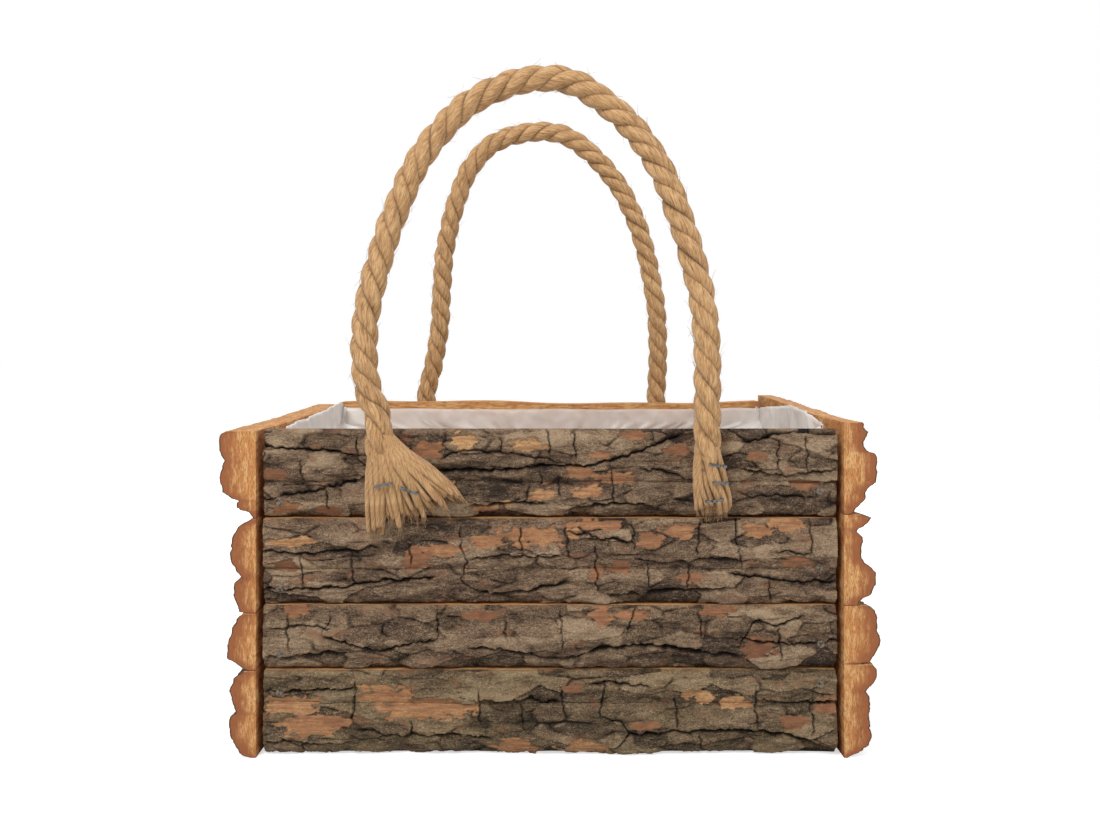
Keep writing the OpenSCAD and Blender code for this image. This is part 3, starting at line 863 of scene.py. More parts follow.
def head_centres(node, wall):
    """The middle of each nail head's outer face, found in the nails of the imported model."""
    side = WALLS[wall]
    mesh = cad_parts[node].data
    pts = np.array([v.co for v in mesh.vertices]) / MM
    key = [a for a in (0, 1, 2) if a != side["out"]]
    groups = {}
    for p in pts:
        spot = next((g for g in groups if math.hypot(p[key[0]] - g[0], p[key[1]] - g[1]) < NAIL_APART), None)
        if spot is None:
            spot = (p[key[0]], p[key[1]])
            groups[spot] = []
        groups[spot].append(p)
    centres = []
    for members in groups.values():
        members = np.array(members)
        centre = (members.min(axis=0) + members.max(axis=0)) / 2
        outs = members[:, side["out"]]
        centre[side["out"]] = outs.max() if side["sign"] > 0 else outs.min()
        centres.append(centre)
    return centres


NAIL_CENTRES = {wall: head_centres(wall + "_nails", wall) for wall in WALLS}
print("nail heads found:", {wall: len(c) for wall, c in NAIL_CENTRES.items()})

# %% [markdown]
# Old bark is grey brown with pale flecks of lichen. It is painted lighter where it stands high and darker
# where it lies low, as light and shade, and its cracks, fissures and plate seams are painted nearly black
# as shade. Where a flake is gone the orange layer below shows. The same slab has sawn sides: close under
# the bark the wood is red brown, and deeper it turns yellow orange with streaks along the growth rings.
# The slab keeps numbers for the painted shade, its height, its scars and the depth under the bark, so one
# material can colour all of it.

# %% Bark and sawn wood
BARK_DARK = srgb(46, 35, 28)
BARK_MID = srgb(104, 82, 64)
BARK_LIGHT = srgb(158, 134, 108)
MOSS_DARK, MOSS_LIGHT = srgb(50, 42, 28), srgb(120, 104, 72)
# the near black is painted shade, laid in the cracks, fissures and plate seams
SHADE_BLACK, LICHEN = srgb(14, 10, 8), srgb(184, 164, 136)
SCAR_RED, SCAR_ORANGE, SCAR_YELLOW = srgb(118, 76, 54), srgb(166, 116, 80), srgb(198, 154, 106)
UNDER_BARK, WOOD_RED, WOOD_ORANGE, WOOD_YELLOW = (
    srgb(70, 50, 38), srgb(150, 92, 58), srgb(192, 132, 78), srgb(214, 168, 112),
)


def bark_material(name, stretch, rings):
    """stretch is the pattern's scale along X, Y and Z on the bark, and rings the same in the wood."""
    material, tree, shader = new_material(name)
    bark = object_place(tree, stretch)
    patches = noise_of(tree, bark, 38, 3)
    speckle = noise_of(tree, bark, 520, 6, 0.7)
    lichen = noise_of(tree, bark, 150, 5, 0.62)
    salt = noise_of(tree, bark, 1250, 3, 0.6)
    high = number_of(tree, "high")
    tone = plus(tree, speckle, times(tree, salt, 0.7))
    tone = calc(tree, "SUBTRACT", tone, 0.70)
    # painted light and shade: the bark lighter where it stands high and darker where it lies low
    for part, share in ((patches, 0.45), (number_of(tree, "plate"), 0.22), (high, 0.58)):
        tone = plus(tree, tone, times(tree, part, share))
    tone = calc(tree, "SUBTRACT", tone, 0.22, clamp=True)
    grey = ramp(tree, tone, [(0.22, BARK_DARK), (0.54, BARK_MID), (0.88, BARK_LIGHT)])
    green = ramp(tree, tone, [(0.20, MOSS_DARK), (0.86, MOSS_LIGHT)])
    colour = between(tree, times(tree, number_of(tree, "moss"), patches), grey, green)
    colour = overlay(tree, colour, BARK_LIGHT, lichen, 0.56, 0.70, 0.55)
    colour = overlay(tree, colour, LICHEN, salt, 0.57, 0.66, times(tree, high, 1.1))
    colour = overlay(tree, colour, SCAR_RED, noise_of(tree, bark, 75, 4), 0.56, 0.72, 0.6)

    scar = number_of(tree, "scar")
    uneven = calc(tree, "SUBTRACT", lichen, 0.5)
    scar_tone = plus(tree, number_of(tree, "scar_tone"), uneven)
    bare = ramp(tree, scar_tone, [(0.05, SCAR_RED), (0.5, SCAR_ORANGE), (0.95, SCAR_YELLOW)])
    thin_layers = object_place(tree, tuple(7.0 * s if s > 1 else 1.0 for s in stretch))
    bare = overlay(tree, bare, SCAR_RED, noise_of(tree, thin_layers, 48, 5, 0.6), 0.46, 0.60, 0.55)
    bare = overlay(tree, bare, BARK_MID, speckle, 0.46, 0.66, 0.6)
    bare = overlay(tree, bare, BARK_DARK, salt, 0.56, 0.70, 0.45)
    worn = plus(tree, scar, times(tree, uneven, 1.3))
    colour = overlay(tree, colour, bare, worn, 0.42, 0.66, times(tree, scar, 0.92))
    # painted shade: the cracks, fissures and plate seams nearly black, and the bark on the shelf beside each
    # fissure darker
    colour = between(tree, number_of(tree, "recess_shade"), colour, SHADE_BLACK)

    wood = object_place(tree, rings)
    streak = noise_of(tree, wood, 1.0, 5, 0.6)
    fine = noise_of(tree, wood, 3.1, 3)
    depth = number_of(tree, "under_bark")
    ragged = plus(tree, depth, times(tree, calc(tree, "SUBTRACT", streak, 0.5), 9.0))
    inner = spread(tree, ragged, 2.5, 12.0)
    sawn = between(tree, inner, WOOD_RED, WOOD_ORANGE)
    sawn = overlay(tree, sawn, WOOD_YELLOW, streak, 0.42, 0.62, inner)
    sawn = overlay(tree, sawn, WOOD_RED, fine, 0.47, 0.62, 0.62)
    sawn = overlay(tree, sawn, UNDER_BARK, noise_of(tree, wood, 1.7, 4, 0.7), 0.60, 0.70, 0.6)
    thin_bark = spread(tree, plus(tree, depth, times(tree, fine, 1.2)), 1.6, 0.9)
    sawn = between(tree, thin_bark, sawn, UNDER_BARK)
    colour = between(tree, spread(tree, number_of(tree, "sawn"), 0.4, 0.9), colour, sawn)

    surface(tree, shader, colour, 0.86, 0.25)
    grit = plus(tree, noise_of(tree, bark, 900, 5, 0.7), times(tree, streak, 0.6))
    bump(tree, shader, grit, 0.5, 0.0007)
    return material


face_bark = bark_material("bark_slab", (1.0, 2.2, 2.2), (70, 620, 620))
end_bark = bark_material("bark_slab_end", (2.2, 1.0, 2.2), (620, 70, 150))
print("bark materials", face_bark.name, end_bark.name)

# %% [markdown]
# Now the sixteen slabs. The four front ones take the features laid on by hand, and the others, which the
# photograph hardly shows, get features from a seeded random choice. The side slabs' outline is the
# photographed one at the front end and its calmer, smoothed form along the rest.

# %% Features and outlines of each slab
REAR_FORMS = [
    [[0, 8], [0.45, 0], [0.7, 3.5], [0.86, 1.2], [1, 4.5]],
    [[0, 8], [0.28, 0.8], [0.5, 4.2], [0.78, 0], [1, 3.5]],
    [[0, 8], [0.4, 0], [1, 3.5]],
    [[0, 8], [0.32, 0], [0.55, 3.8], [0.76, 1], [1, 4]],
]
FRONT_MOSS = [0.15, 0.1, 0.25, 1.0]


def photographed_features(index):
    """The hand-laid fissures, cracks and scars of a front slab in its own frame, in mm."""
    start, base = slab_place(f"front_slab_{4 - index}", "front")[:2]

    def spot(x, y):
        px, pz = from_photo(x, y)
        return px - start, pz - base

    fissures = [[[spot(*p) for p in path], *sizes] for path, *sizes in FRONT_FISSURES[index]]
    cracks = [[spot(*p) for p in path] for path in FRONT_CRACKS[index]]
    scars = []
    for left, right, top, bottom, tone in FRONT_SCARS[index]:
        (u_low, v_high), (u_high, v_low) = spot(left, top), spot(right, bottom)
        scars.append([u_low, u_high, v_low, v_high, tone])
    return fissures, cracks, scars


def calm_outline(outline, height):
    """The same outline with its small lobes smoothed away."""
    soft = soft_rows(even_outline(outline, 60)[0], 5)
    soft[0, 0], soft[-1, 0] = 0, height
    return soft


def dress_slab(slab, name, material, moss):
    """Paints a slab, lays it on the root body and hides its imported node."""
    store(slab, "moss", np.full(len(slab.data.vertices), moss))
    coat(slab.data, material)
    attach(slab, "root")
    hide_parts(name)
    print(name, len(slab.data.vertices), "points")


# %% [markdown]
# Each front and rear slab keeps one outline along its whole length. The rim of the top front slab falls
# a little towards the inside, and the rim of the rear wall is made slightly wavy.

# %% Front and rear slabs
FRONT_SPACING, REAR_SPACING, SIDE_SPACING = 0.55, 0.8, 0.75
RIM_SLOPE = 2.2
REAR_MOSS, SIDE_MOSS = 0.3, 0.2

for i in range(4):
    name = f"front_slab_{4 - i}"
    outline = bulging_outline(FRONT_FORMS[i], *slab_place(name, "front")[4:])
    features = photographed_features(i)
    slope = RIM_SLOPE if i == 0 else 0.0
    slab = shape_slab(name, "front", outline, FRONT_SPACING, features, 11 + 7 * i, slope=slope)
    dress_slab(slab, name, face_bark, FRONT_MOSS[i])


def rear_rim(share):
    """The wavy sawn rim of the rear wall, in mm over its nominal height."""
    return 0.9 * np.sin(7.0 * share) + 0.5 * np.sin(19.0 * share + 1.0)


for i in range(4):
    name = f"rear_slab_{4 - i}"
    length, height, thick = slab_place(name, "rear")[3:]
    outline = bulging_outline(REAR_FORMS[i], height, thick)
    features = random_features(length, height, 60 + i)
    lift = rear_rim if i == 0 else None
    slab = shape_slab(name, "rear", outline, REAR_SPACING, features, 61 + 9 * i, lift=lift)
    dress_slab(slab, name, face_bark, REAR_MOSS)

# %% [markdown]
# The side slabs start from the photographed ends and calm down along the wall. The two top ones rise a
# few millimetres towards the rear.

# %% Side slabs
FAR_LIFT = {"left": 3.0, "right": 5.0}
for wall, ends in (("left", LEFT_ENDS), ("right", RIGHT_ENDS)):
    for i in range(4):
        name = f"{wall}_slab_{4 - i}"
        length, height = slab_place(name, wall)[3:5]
        outline = end_outline(ends[i], wall, name)
        calm = calm_outline(outline, height)
        features = random_features(length, height, 90 + i + len(wall))
        seed = 141 + 11 * i + len(wall)
        lift = (lambda share, rise=FAR_LIFT[wall]: rise * step(0.15, 1.0, share)) if i == 0 else None
        slab = shape_slab(name, wall, outline, SIDE_SPACING, features, seed, calm, lift=lift)
        dress_slab(slab, name, end_bark, SIDE_MOSS)

# %% [markdown]
# The posts, cleats and boards are plain sawn battens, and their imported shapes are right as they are. They
# only need wood: grain drawn out along the batten, so each direction of batten has its own material.

# %% Battens
BATTEN_DARK, BATTEN_MID, BATTEN_LIGHT = srgb(176, 128, 78), srgb(208, 166, 112), srgb(226, 190, 140)
BATTEN_RING = srgb(166, 112, 64)


def batten_material(name, stretch):
    material, tree, shader = new_material(name)
    place = object_place(tree, stretch)
    grain = noise_of(tree, place, 1.0, 6, 0.6)
    colour = ramp(tree, grain, [(0.30, BATTEN_DARK), (0.52, BATTEN_MID), (0.72, BATTEN_LIGHT)])
    colour = overlay(tree, colour, BATTEN_RING, noise_of(tree, place, 0.22, 2), 0.5, 0.62, 0.35)
    surface(tree, shader, colour, 0.78, 0.3)
    bump(tree, shader, grain, 0.35, 0.0005)
    return material


BATTENS = {
    "post": batten_material("batten_upright", (420, 420, 22)),
    "cleat": batten_material("batten_deep", (420, 22, 420)),
    "floor_board": batten_material("batten_long", (22, 420, 420)),
}


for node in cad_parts:
    for start, material in BATTENS.items():
        if node.startswith(start):
            coat(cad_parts[node].data, material)
print("battens", [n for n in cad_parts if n.startswith(tuple(BATTENS))])

# %% [markdown]
# The nails are bright wire nails with a little rust at the rim, and the staples are galvanised wire gone
# dull. Both are metal whose roughness changes over a few tenths of a millimetre.

# %% Nails and staples


def wire_material(name, bright, dull, rough):
    material, tree, shader = new_material(name)
    wear = noise_of(tree, object_place(tree, (1, 1, 1)), 700, 4)
    colour = between(tree, spread(tree, wear, 0.42, 0.66), bright, dull)
    surface(tree, shader, colour, calc(tree, "MULTIPLY_ADD", wear, 0.4, rough))
    shader.inputs["Metallic"].default_value = 0.9
    return material


nail_steel = wire_material("nail_steel", srgb(128, 118, 106), srgb(70, 52, 40), 0.38)
staple_steel = wire_material("staple_steel", srgb(122, 124, 128), srgb(62, 60, 58), 0.32)
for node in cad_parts:
    if node.endswith("_nails"):
        coat(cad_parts[node].data, nail_steel)
    if "_staples_" in node:
        coat(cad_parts[node].data, staple_steel)
print("metal", nail_steel.name, staple_steel.name)

# %% [markdown]
# Each handle is one three-strand jute rope. A strand is a grid rolled round a path that winds about the
# rope's middle line, and its section has small lobes, one for each yarn, that turn the other way, as a
# rope maker lays them. The route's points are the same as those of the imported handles, in mm over the
# line that the handle flexes about, with a short way down into the stapled tails.

# %% Sizes and routes of the ropes
ROPE_R = 7.0
LAY = 39.0
STRAND_R = 3.95
HELIX_R = 3.15
YARNS = 10
YARN_TURN = -0.82 * 2 * math.pi / LAY
INTO_TAIL = 27.0
TAIL_GAP = 0.3
FLEX_Z = {w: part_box(w + "_handle")[0][2] / MM + ROPE_R for w in ("front", "rear")}
ROPE_Y = {
    "front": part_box("front_handle")[0][1] / MM + ROPE_R,
    "rear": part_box("rear_handle")[1][1] / MM - ROPE_R,
}
TAIL_TOP = {w: FLEX_Z[w] - ROPE_R - TAIL_GAP for w in FLEX_Z}
ROUTES = {
    "front": [
        [-88, 0, 0], [-93, 13, 0.5], [-95.5, 28, 1.5], [-95.5, 42, 2.5], [-93.5, 60, 4], [-87.5, 85, 7],
        [-79, 111, 10], [-70, 132, 12.5], [-56.5, 151.5, 15.5], [-42.5, 165.5, 18], [-24, 175, 19.5],
        [-5, 179, 20], [11, 177, 20], [25, 169, 19], [44, 151.5, 16], [58.5, 128, 12], [67.5, 104.5, 9],
        [75, 77.5, 6], [79.8, 51, 3.5], [81, 25, 1.3], [80.5, 0, 0],
    ],
    "rear": [
        [-91.5, 0, 0], [-88, 14, 0.5], [-84.8, 28, 1.5], [-82, 46, 3], [-80.5, 65, 4.5], [-78.5, 93, 7],
        [-75.8, 112, 9], [-71.5, 130, 11], [-60, 160, 15.5], [-42, 180, 19], [-16, 188.5, 20],
        [9, 187, 20], [29, 174, 18.5], [47.5, 154, 15.5], [61, 130, 12], [70.5, 102.5, 8.5],
        [78, 65, 5], [80, 28, 1.5], [79, 0, 0],
    ],
}
print("flex lines at", FLEX_Z, "rope planes at", ROPE_Y)

# %% [markdown]
# The fibre's colour follows the yarn, so it is read from the UV map: long along the rope, fine round it.
# Turning the round part into a circle hides the seam of the rolled grid.

# %% Jute
JUTE_DARK, JUTE_MID = srgb(128, 90, 54), srgb(186, 144, 98)
# the groove colour is painted shade, for the hollows between the strands
JUTE_LIGHT, JUTE_GROOVE_SHADE = srgb(222, 186, 138), srgb(84, 56, 32)
jute, tree, shader = new_material("jute_fibre")
uv_node = tree.nodes.new("ShaderNodeUVMap")
uv_parts = tree.nodes.new("ShaderNodeSeparateXYZ")
tree.links.new(uv_node.outputs["UV"], uv_parts.inputs[0])
round_turn = times(tree, uv_parts.outputs["Y"], 2 * math.pi)
fibre_place = tree.nodes.new("ShaderNodeCombineXYZ")
feed(tree, fibre_place.inputs[0], calc(tree, "COSINE", round_turn))
feed(tree, fibre_place.inputs[1], calc(tree, "SINE", round_turn))
feed(tree, fibre_place.inputs[2], times(tree, uv_parts.outputs["X"], 42.0))
fibres = noise_of(tree, fibre_place.outputs[0], 7.5, 6, 0.65)
strands = noise_of(tree, fibre_place.outputs[0], 2.6, 3)
tone = plus(tree, times(tree, fibres, 0.65), times(tree, strands, 0.35))
colour = ramp(tree, tone, [(0.36, JUTE_DARK), (0.50, JUTE_MID), (0.66, JUTE_LIGHT)])
# painted shade: the jute darker near the rope's middle line, in the grooves between strands
colour = between(tree, times(tree, number_of(tree, "groove"), 0.85), colour, JUTE_GROOVE_SHADE)
surface(tree, shader, colour, 0.8, 0.25)
shader.inputs["Sheen Weight"].default_value = 0.15
bump(tree, shader, fibres, 0.7, 0.0006)
print("jute", jute.name)

# %% [markdown]
# A few points are enough for a route when a curve is drawn smoothly through them. Along that curve a grid
# is rolled up, once for each strand, yarn and hair, and its seam is merged.

# %% Smooth routes and rolled tubes
CURVE_STEPS = 16
GROOVE_SHADE_R = 4.5, 6.3


def smooth_route(points, spacing):
    """Points evenly spaced along a smooth curve through the given ones, in as many columns."""
    p = np.array(points, float)
    ends = np.vstack([2 * p[0] - p[1], p, 2 * p[-1] - p[-2]])
    curve = []
    for a, b, c, d in zip(ends, ends[1:], ends[2:], ends[3:]):
        for t in np.linspace(0, 1, CURVE_STEPS, endpoint=False):
            bend = a - 2.5 * b + 2 * c - d / 2
            curve.append(b + (c - a) * t / 2 + bend * t**2 + ((d - a) / 2 + 1.5 * (b - c)) * t**3)
    curve = np.array(curve + [p[-1]])
    run = run_along(curve[:, :3])
    at = np.linspace(0, run[-1], max(3, int(run[-1] / spacing)))
    return sampled(at, run, curve), at


def frames_along(path):
    """At each point of a path: the way ahead, the way across it and the way to its side facing +Y."""
    ahead = unit(np.gradient(path, axis=0))
    across = unit(np.cross(ahead, [0.0, 1.0, 0.0]))
    return ahead, across, np.cross(across, ahead)


def rolled_tube(name, path, radii, sides, middle=None, lobes=0, twist=0.0, lobe_depth=0.05):
    """A grid rolled round a path in mm, with its seam merged and its ends filled. Its UV runs in metres
    along and in turns round, and nearness to the rope's middle line is kept for painted shade in the grooves."""
    count = len(path)
    bpy.ops.object.select_all(action="DESELECT")
    bpy.ops.mesh.primitive_grid_add(x_subdivisions=count - 1, y_subdivisions=sides, size=1)
    tube = bpy.context.active_object
    tube.name = name
    raw = points_of(tube)
    ring = np.clip(np.round((raw[:, 0] + 0.5) * (count - 1)).astype(int), 0, count - 1)
    turn = np.round((raw[:, 1] + 0.5) * sides) / sides
    run = run_along(path)
    _, across, outward = frames_along(path)
    angle = 2 * math.pi * turn
    fibre = angle - twist * run[ring]
    radius = np.asarray(radii)[ring] * (1 + lobe_depth * (np.abs(np.cos(lobes / 2 * fibre)) - 0.6))
    place = path[ring] + radius[:, None] * (
        np.cos(angle)[:, None] * across[ring] + np.sin(angle)[:, None] * outward[ring]
    )
    put_points(tube, place * MM)
    # how near the rope's middle line, which the material paints darker as shade
    if middle is None:
        store(tube, "groove", np.zeros(len(place)))
    else:
        store(tube, "groove", 1 - step(*GROOVE_SHADE_R, np.linalg.norm(place - middle[ring], axis=1)))

    corner = np.empty(len(tube.data.loops), np.int32)
    tube.data.loops.foreach_get("vertex_index", corner)
    uv = np.stack([run[ring] * MM, fibre / (2 * math.pi)], axis=1)[corner]
    tube.data.uv_layers.active.data.foreach_set("uv", uv.astype(np.float32).ravel())

    bpy.ops.object.mode_set(mode="EDIT")
    bpy.ops.mesh.select_all(action="SELECT")
    bpy.ops.mesh.remove_doubles(threshold=TINY)
    bpy.ops.mesh.fill_holes(sides=0)
    bpy.ops.mesh.select_all(action="SELECT")
    bpy.ops.mesh.normals_make_consistent(inside=False)
    bpy.ops.object.mode_set(mode="OBJECT")
    bpy.ops.object.shade_smooth()
    return tube


def joined(parts, name):
    """The parts as one object, painted as jute."""
    select_only(*parts)
    bpy.ops.object.join()
    parts[0].name = name
    coat(parts[0].data, jute)
    return parts[0]


# %% [markdown]
# Jute is never smooth. Loose fibres stand off the rope everywhere and hang from the cut ends. One hair is
# modelled, and each copy of it is bent to its own curve.

# %% Loose fibres
HAIR_RINGS, HAIR_SIDES, HAIR_LENGTH = 6, 3, 10
HAIR_R = np.linspace(0.11, 0.05, HAIR_RINGS)
hair_line = np.outer(np.linspace(0, HAIR_LENGTH, HAIR_RINGS), [1, 0, 0])
hair_model = rolled_tube("hair_model", hair_line, HAIR_R, HAIR_SIDES)
HAIR_REST = points_of(hair_model) / MM


def hair(root, ahead, away, reach, curl, thick):
    """A copy of the hair that starts at root, leads ahead and bends away, in mm."""
    made = hair_model.copy()
    made.data = hair_model.data.copy()
    bpy.context.collection.objects.link(made)
    t = HAIR_REST[:, 0] / HAIR_LENGTH
    side = np.cross(ahead, away)
    bent = root + np.outer(t * reach, ahead) + np.outer(curl * t**2, away)
    bent = bent + thick * (np.outer(HAIR_REST[:, 1], away) + np.outer(HAIR_REST[:, 2], side))
    put_points(made, bent * MM)
    return made


def fuzz(path, radius, count, seed):
    """Short fibres that stand off a rope along its path."""
    pick = np.random.default_rng(seed)
    ahead, across, outward = frames_along(path)
    made = []
    for _ in range(count):
        k = pick.integers(4, len(path) - 4)
        a = pick.uniform(0, 2 * math.pi)
        away = math.cos(a) * across[k] + math.sin(a) * outward[k]
        way = ahead[k] * pick.choice([-1, 1]) + 0.5 * pick.uniform(-1, 1) * np.cross(ahead[k], away)
        root = path[k] + away * radius * pick.uniform(0.86, 0.97)
        reach, curl, thick = pick.uniform(3, 10), pick.uniform(0.6, 3.4), pick.uniform(0.9, 1.5)
        made.append(hair(root, unit(way), away, reach, curl, thick))
    return made


print("hair with", len(HAIR_REST), "points")

# %% [markdown]
# Three strands wind about the route, and loose fibres stand off them. The rope is one piece from tail to
# tail.

# %% The two handles
STRAND_SIDES, YARN_DEPTH = 36, 0.07
ROPE_SPACING = 1.1
ROPE_HAIRS = 420


def lay_rope(wall, seed):
    """The whole rope of one handle, from tail to tail, and its length in mm."""
    inward = 1 if wall == "front" else -1
    route = ROUTES[wall]
    first, last = route[0], route[-1]
    route = [[first[0], -INTO_TAIL, 0], [first[0], -INTO_TAIL / 2, 0]] + route
    route = route + [[last[0], -INTO_TAIL / 2, 0], [last[0], -INTO_TAIL, 0]]
    placed = [[x, ROPE_Y[wall] + inward * lean, FLEX_Z[wall] + rise] for x, rise, lean in route]
    middle, run = smooth_route(placed, ROPE_SPACING)
    _, across, outward = frames_along(middle)
    wander = 0.35 * smooth_noise(run / 23, run * 0, seed)
    middle = middle + wander[:, None] * across
    parts = []
    for k in range(3):
        a = 2 * math.pi * (k / 3 + run / LAY) + 0.25 * smooth_noise(run / 31, run * 0 + k, seed + 1)
        helix = HELIX_R * (np.cos(a)[:, None] * across + np.sin(a)[:, None] * outward)
        swell = STRAND_R * (1 + 0.035 * smooth_noise(run / 12, run * 0 + 3 * k, seed + 2))
        swell = swell * (0.55 + 0.45 * step(0, 12, run) * (1 - step(run[-1] - 12, run[-1], run)))
        parts.append(rolled_tube(
            f"{wall}_strand_{k}", middle + helix, swell, STRAND_SIDES, middle, YARNS, YARN_TURN, YARN_DEPTH
        ))
    parts += fuzz(middle, ROPE_R, ROPE_HAIRS, seed + 5)
    rope = joined(parts, f"{wall}_rope")
    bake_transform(rope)
    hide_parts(f"{wall}_handle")
    return rope, run[-1]


for wall, seed in (("front", 401), ("rear", 431)):
    rope, length = lay_rope(wall, seed)
    print(rope.name, "is", round(length), "mm long with", len(rope.data.polygons), "faces")

# %% [markdown]
# Below the rim the rope opens into its yarns, which the staples press on the bark: the front left tail
# spreads into a fan, and the others flare into short stubs. A tail's strands are [x, fall below its top,
# half width, half depth] with the half sizes in rope radii, and yarns run down inside each of them.

# %% Tails
TAILS = {
    "front_tail_left": ("front", 9, [
        [[-88, 0, 1, 0.94], [-88, 12, 1.0, 0.96], [-88.5, 30, 0.93, 0.86],
         [-89.5, 43, 0.8, 0.7], [-90.5, 55, 0.6, 0.43]],
        [[-87, 0, 1, 0.94], [-84, 14, 1.0, 0.93], [-81, 28, 0.95, 0.83],
         [-79.5, 40, 0.85, 0.66], [-78.5, 51, 0.7, 0.43]],
        [[-86, 2, 1, 0.94], [-80, 14, 1.07, 0.93], [-74, 26, 1, 0.83],
         [-70.5, 37, 0.95, 0.66], [-68, 46, 0.8, 0.43]],
        [[-85, 2, 0.9, 0.92], [-77, 14, 1.0, 0.88], [-68, 24, 1.0, 0.78],
         [-61.5, 34, 0.95, 0.64], [-57, 42, 0.75, 0.43]],
        [[-85, 2, 0.86, 0.91], [-75.5, 12, 0.9, 0.86], [-64, 21, 0.95, 0.75],
         [-55, 29, 0.85, 0.6], [-47.5, 37, 0.65, 0.43]],
    ]),
    "front_tail_right": ("front", 15, [
        [[80.5, 0, 1.0, 0.94], [80.8, 14, 1.2, 0.97], [82, 27, 1.57, 0.91],
         [83.8, 36, 1.75, 0.74], [84, 44, 1.6, 0.43]],
    ]),
    "rear_tail_left": ("rear", 15, [
        [[-91.5, 0, 1.0, 0.94], [-91, 15, 1.23, 0.97], [-90, 28, 1.57, 0.89],
         [-89, 38, 1.64, 0.71], [-89, 46, 1.5, 0.43]],
    ]),
    "rear_tail_right": ("rear", 15, [
        [[79, 0, 1.0, 0.94], [79.5, 14, 1.2, 0.97], [80, 29, 1.5, 0.89],
         [80.5, 40, 1.57, 0.71], [80, 48, 1.5, 0.43]],
    ]),
}
BARK_CREST = {"front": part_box("front_slab_4")[0][1] / MM, "rear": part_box("rear_slab_4")[1][1] / MM}
FAN_YARNS = 9            # a tail of more yarns than this is a stub, with some of them inside it
TAIL_SPACING, TAIL_SIDES = 1.4, 14
END_HAIRS, END_HAIR_THICK = 7, 1.7


def end_hairs(path, pick):
    """Fibres that hang from a yarn's cut end."""
    ahead = unit(path[-1] - path[-3])
    made = []
    for _ in range(END_HAIRS):
        root = path[-2] + pick.uniform(-0.8, 0.8, 3)
        away = pick.normal(size=3)
        away = unit(away - ahead * (away @ ahead))
        reach, curl = pick.uniform(2.5, 7.5), pick.uniform(-1.8, 1.8)
        made.append(hair(root, ahead, away, reach, curl, END_HAIR_THICK))
    return made


def tail(node, seed):
    wall, yarns, strands = TAILS[node]
    out = -1 if wall == "front" else 1
    stub = yarns > FAN_YARNS
    pick = np.random.default_rng(seed)
    parts = []
    for strand in strands:
        whole, _ = smooth_route([[x, 0, -fall, wide, deep] for x, fall, wide, deep in strand], TAIL_SPACING)
        for k in range(yarns):
            line = whole[: max(5, int(len(whole) * pick.uniform(0.86, 1.0)))]
            share = np.linspace(0, 1, len(line))
            a = 2 * math.pi * (k / yarns) + 0.9 * share + pick.uniform(-0.25, 0.25)
            at_top, opening = (0.30, 0.12) if stub and k % 3 == 0 else (0.45, 0.27)
            open_up = at_top + opening * step(0.0, 0.5, share)
            wide, deep = line[:, 3] * ROPE_R, line[:, 4] * ROPE_R
            yarn_r = (1.75 if stub else 1.7) * pick.uniform(0.85, 1.15) * (1 - 0.3 * step(0.55, 1.0, share))
            x = line[:, 0] + np.cos(a) * open_up * wide
            sway = np.sin(a) * np.minimum(open_up * deep, deep - yarn_r + 0.6)
            y = BARK_CREST[wall] + out * (0.6 + deep) + sway
            z = TAIL_TOP[wall] + line[:, 2] + 0.6 * smooth_noise(share * 3, share * 0 + k, seed)
            path = np.stack([x, y, z], axis=1)
            parts.append(rolled_tube(f"yarn_{len(parts)}", path, yarn_r, TAIL_SIDES, None, 5, -0.35, 0.1))
            parts += end_hairs(path, pick)
    made = joined(parts, node + "_yarns")
    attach(made, "root")
    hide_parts(node)
    return made


for k, node in enumerate(TAILS):
    made = tail(node, 500 + k)
    print(made.name, len(made.data.polygons), "faces")
bpy.data.objects.remove(hair_model)

# %% [markdown]
# The liner is a thin milky film pressed into the box. It is one grid: its rows go from the middle of the
# floor out to the walls, up them, round the posts, and over them at the rim. It lies in soft upright
# wrinkles that grow into a crumple at the corners, where the spare film is gathered.

# %% Film liner
POST_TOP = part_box("post_front_left")[1][2] / MM
FILM_HALF_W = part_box("right_slab_2")[0][0] / MM - 0.7
FILM_HALF_D = -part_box("front_slab_2")[1][1] / MM - 0.7
FILM_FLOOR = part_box("floor_board_1")[1][2] / MM + 0.6
FILM_RIM = POST_TOP + 13.5
POST_BLOCK = 18.9
GATHER_REACH = 26.0
FILM_THICK = 0.3
# [share of the way round, starting in the middle of the front, rise of the rim in mm]
RIM_LIFT = [
    [0, 0], [0.15, 0.5], [0.185, 4], [0.21, 9], [0.24, 11], [0.28, 7.5], [0.32, 4.5], [0.4, 3.4], [0.5, 3],
    [0.6, 3.4], [0.66, 5], [0.685, 9], [0.72, 5], [0.80, 2], [0.84, 0.5], [1, 0],
]
FILM_ROUND, FILM_FLOOR_ROWS, FILM_WALL_ROWS = 440, 26, 74


def film_corners(block):
    """The corners of the film's outline, going round from the middle of the front wall."""
    a, b, c = FILM_HALF_W, FILM_HALF_D, block
    quarter = [(a - c, -b), (a - c, -b + c), (a, -b + c)]
    ring = [(0, -b)] + quarter + [(x, -y) for x, y in reversed(quarter)]
    ring += [(-x, -y) for x, y in quarter] + [(-x, y) for x, y in reversed(quarter)]
    return np.array(ring + [(0, -b)], float)


def crumple(x, y, seed):
    """Creases with sharp ridges, from 0 to 1."""
    return 1 - np.abs(rough_noise(x, y, seed, 3)) / 1.2


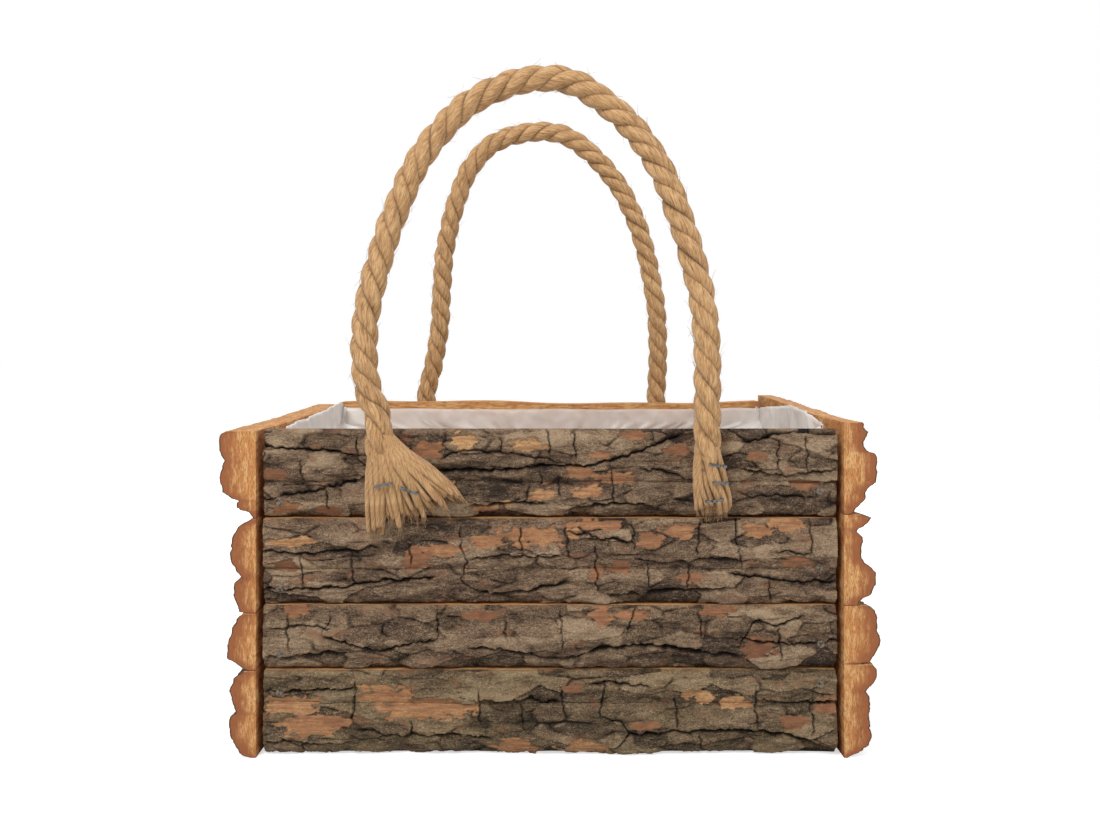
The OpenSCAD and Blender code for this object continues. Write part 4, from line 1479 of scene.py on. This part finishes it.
bpy.ops.object.select_all(action="DESELECT")
film_rows = FILM_FLOOR_ROWS + FILM_WALL_ROWS
bpy.ops.mesh.primitive_grid_add(x_subdivisions=FILM_ROUND, y_subdivisions=film_rows, size=1)
film = bpy.context.active_object
film.name = "film_liner"
raw = points_of(film)
around = raw[:, 0] + 0.5
row = (raw[:, 1] + 0.5) * film_rows
up = np.clip((row - FILM_FLOOR_ROWS) / FILM_WALL_ROWS, 0, 1)
out_share = np.clip(row / FILM_FLOOR_ROWS, 0, 1)

# the film's outline round the posts, and how near each point lies to a corner
wide_ring = film_corners(POST_BLOCK)
ring_run = run_along(wide_ring)
perimeter = ring_run[-1]
ring_share = ring_run / perimeter
corner_at = [(ring_share[k] + ring_share[k + 2]) / 2 for k in (1, 4, 7, 10)]
to_corner = np.min([np.abs(around - c) for c in corner_at], axis=0) * perimeter
gathered = np.exp(-((to_corner / GATHER_REACH) ** 2))

# the rim's height, and over the posts the way from the outline round them to the plain corners
lift = np.interp(around, *np.array(RIM_LIFT).T)
rim = FILM_RIM + lift + 0.8 * smooth_noise(around * 23, around * 0, 700)
rim = rim + gathered * 2.2 * smooth_noise(around * 70, around * 0 + 4, 701)
height = FILM_FLOOR + up * (rim - FILM_FLOOR)
share = 1 - 0.94 * step(POST_TOP + 1.5, POST_TOP + 7.5, height)
wide = sampled(around, ring_share, wide_ring)
tight = sampled(around, ring_share, film_corners(0.0))
x, y = wide.T * share + tight.T * (1 - share)
inward = np.stack([-x / FILM_HALF_W, -y / FILM_HALF_D], axis=1)
inward = unit(np.sign(inward) * np.abs(inward) ** 6)

# wrinkles: wide and narrow ones up the walls, a crumple at the corners, and shallow ones on the floor
run = around * perimeter
loose = 0.35 + 0.65 * step(0.2, 1.0, up)
fold = 3.2 * loose * crumple(run / 31, height / 120, 720) ** 2
bent = height / 26 + 0.3 * smooth_noise(run / 20, height / 20, 721)
fold = fold + 1.8 * loose * crumple(run / 10, bent, 722) ** 2
fold = fold + 5.2 * gathered * step(0.80, 1.0, up) * crumple(run / 8, height / 9, 724)
fold = np.maximum(fold, 0) * step(0.0, 0.06, up)
x = (x + inward[:, 0] * fold) * out_share
y = (y + inward[:, 1] * fold) * out_share
floor_fold = 0.9 * crumple(x / 26, y / 30, 730) ** 2 * fade_between(out_share, 0.0, 0.97, 0.03)
z = np.where(row < FILM_FLOOR_ROWS, FILM_FLOOR + floor_fold, height)
put_points(film, np.stack([x, y, z], axis=1) * MM)

# where the film is whiter: where it is crumpled, and as painted light in a band high on the wall from 0.70 to
# 0.82 of the way round
crumpled_and_lit = np.maximum(gathered, np.maximum(step(3.0, 8.0, lift), fade_between(around, 0.70, 0.82, 0.02)))
store(film, "crumpled_and_lit", np.clip(0.1 + crumpled_and_lit * step(0.72, 0.95, up), 0, 1))

bpy.ops.object.mode_set(mode="EDIT")
bpy.ops.mesh.select_all(action="SELECT")
bpy.ops.mesh.remove_doubles(threshold=TINY)
bpy.ops.mesh.normals_make_consistent(inside=False)
bpy.ops.object.mode_set(mode="OBJECT")
skin = film.modifiers.new("film_thickness", "SOLIDIFY")
skin.thickness = FILM_THICK * MM
skin.offset = 0
bpy.ops.object.modifier_apply(modifier=skin.name)
bpy.ops.object.shade_smooth()
print("film with", len(film.data.polygons), "faces, perimeter", round(perimeter), "mm")

# %% [markdown]
# The film lets the wood show through where it lies flat, and turns white where it is crumpled, because
# there the eye looks through several skins of it. A band high on one wall is made whiter too, as painted
# light.

# %% The film's finish
FILM_COLOUR = srgb(250, 245, 240)
milky, tree, shader = new_material("milky_film")
place = object_place(tree, (1, 1, 1))
surface(tree, shader, FILM_COLOUR, 0.32)
# more opaque, so whiter, where the film is crumpled and where light is painted on the band of wall
opaque = calc(tree, "MULTIPLY_ADD", number_of(tree, "crumpled_and_lit"), 0.5, 0.28, clamp=True)
cloud = times(tree, noise_of(tree, place, 60, 4), 0.12)
feed(tree, shader.inputs["Alpha"], calc(tree, "ADD", opaque, cloud, clamp=True))
bump(tree, shader, noise_of(tree, place, 240, 4), 0.25, 0.0006)
coat(film.data, milky)
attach(film, "root")
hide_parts("liner")
print("film", milky.name)
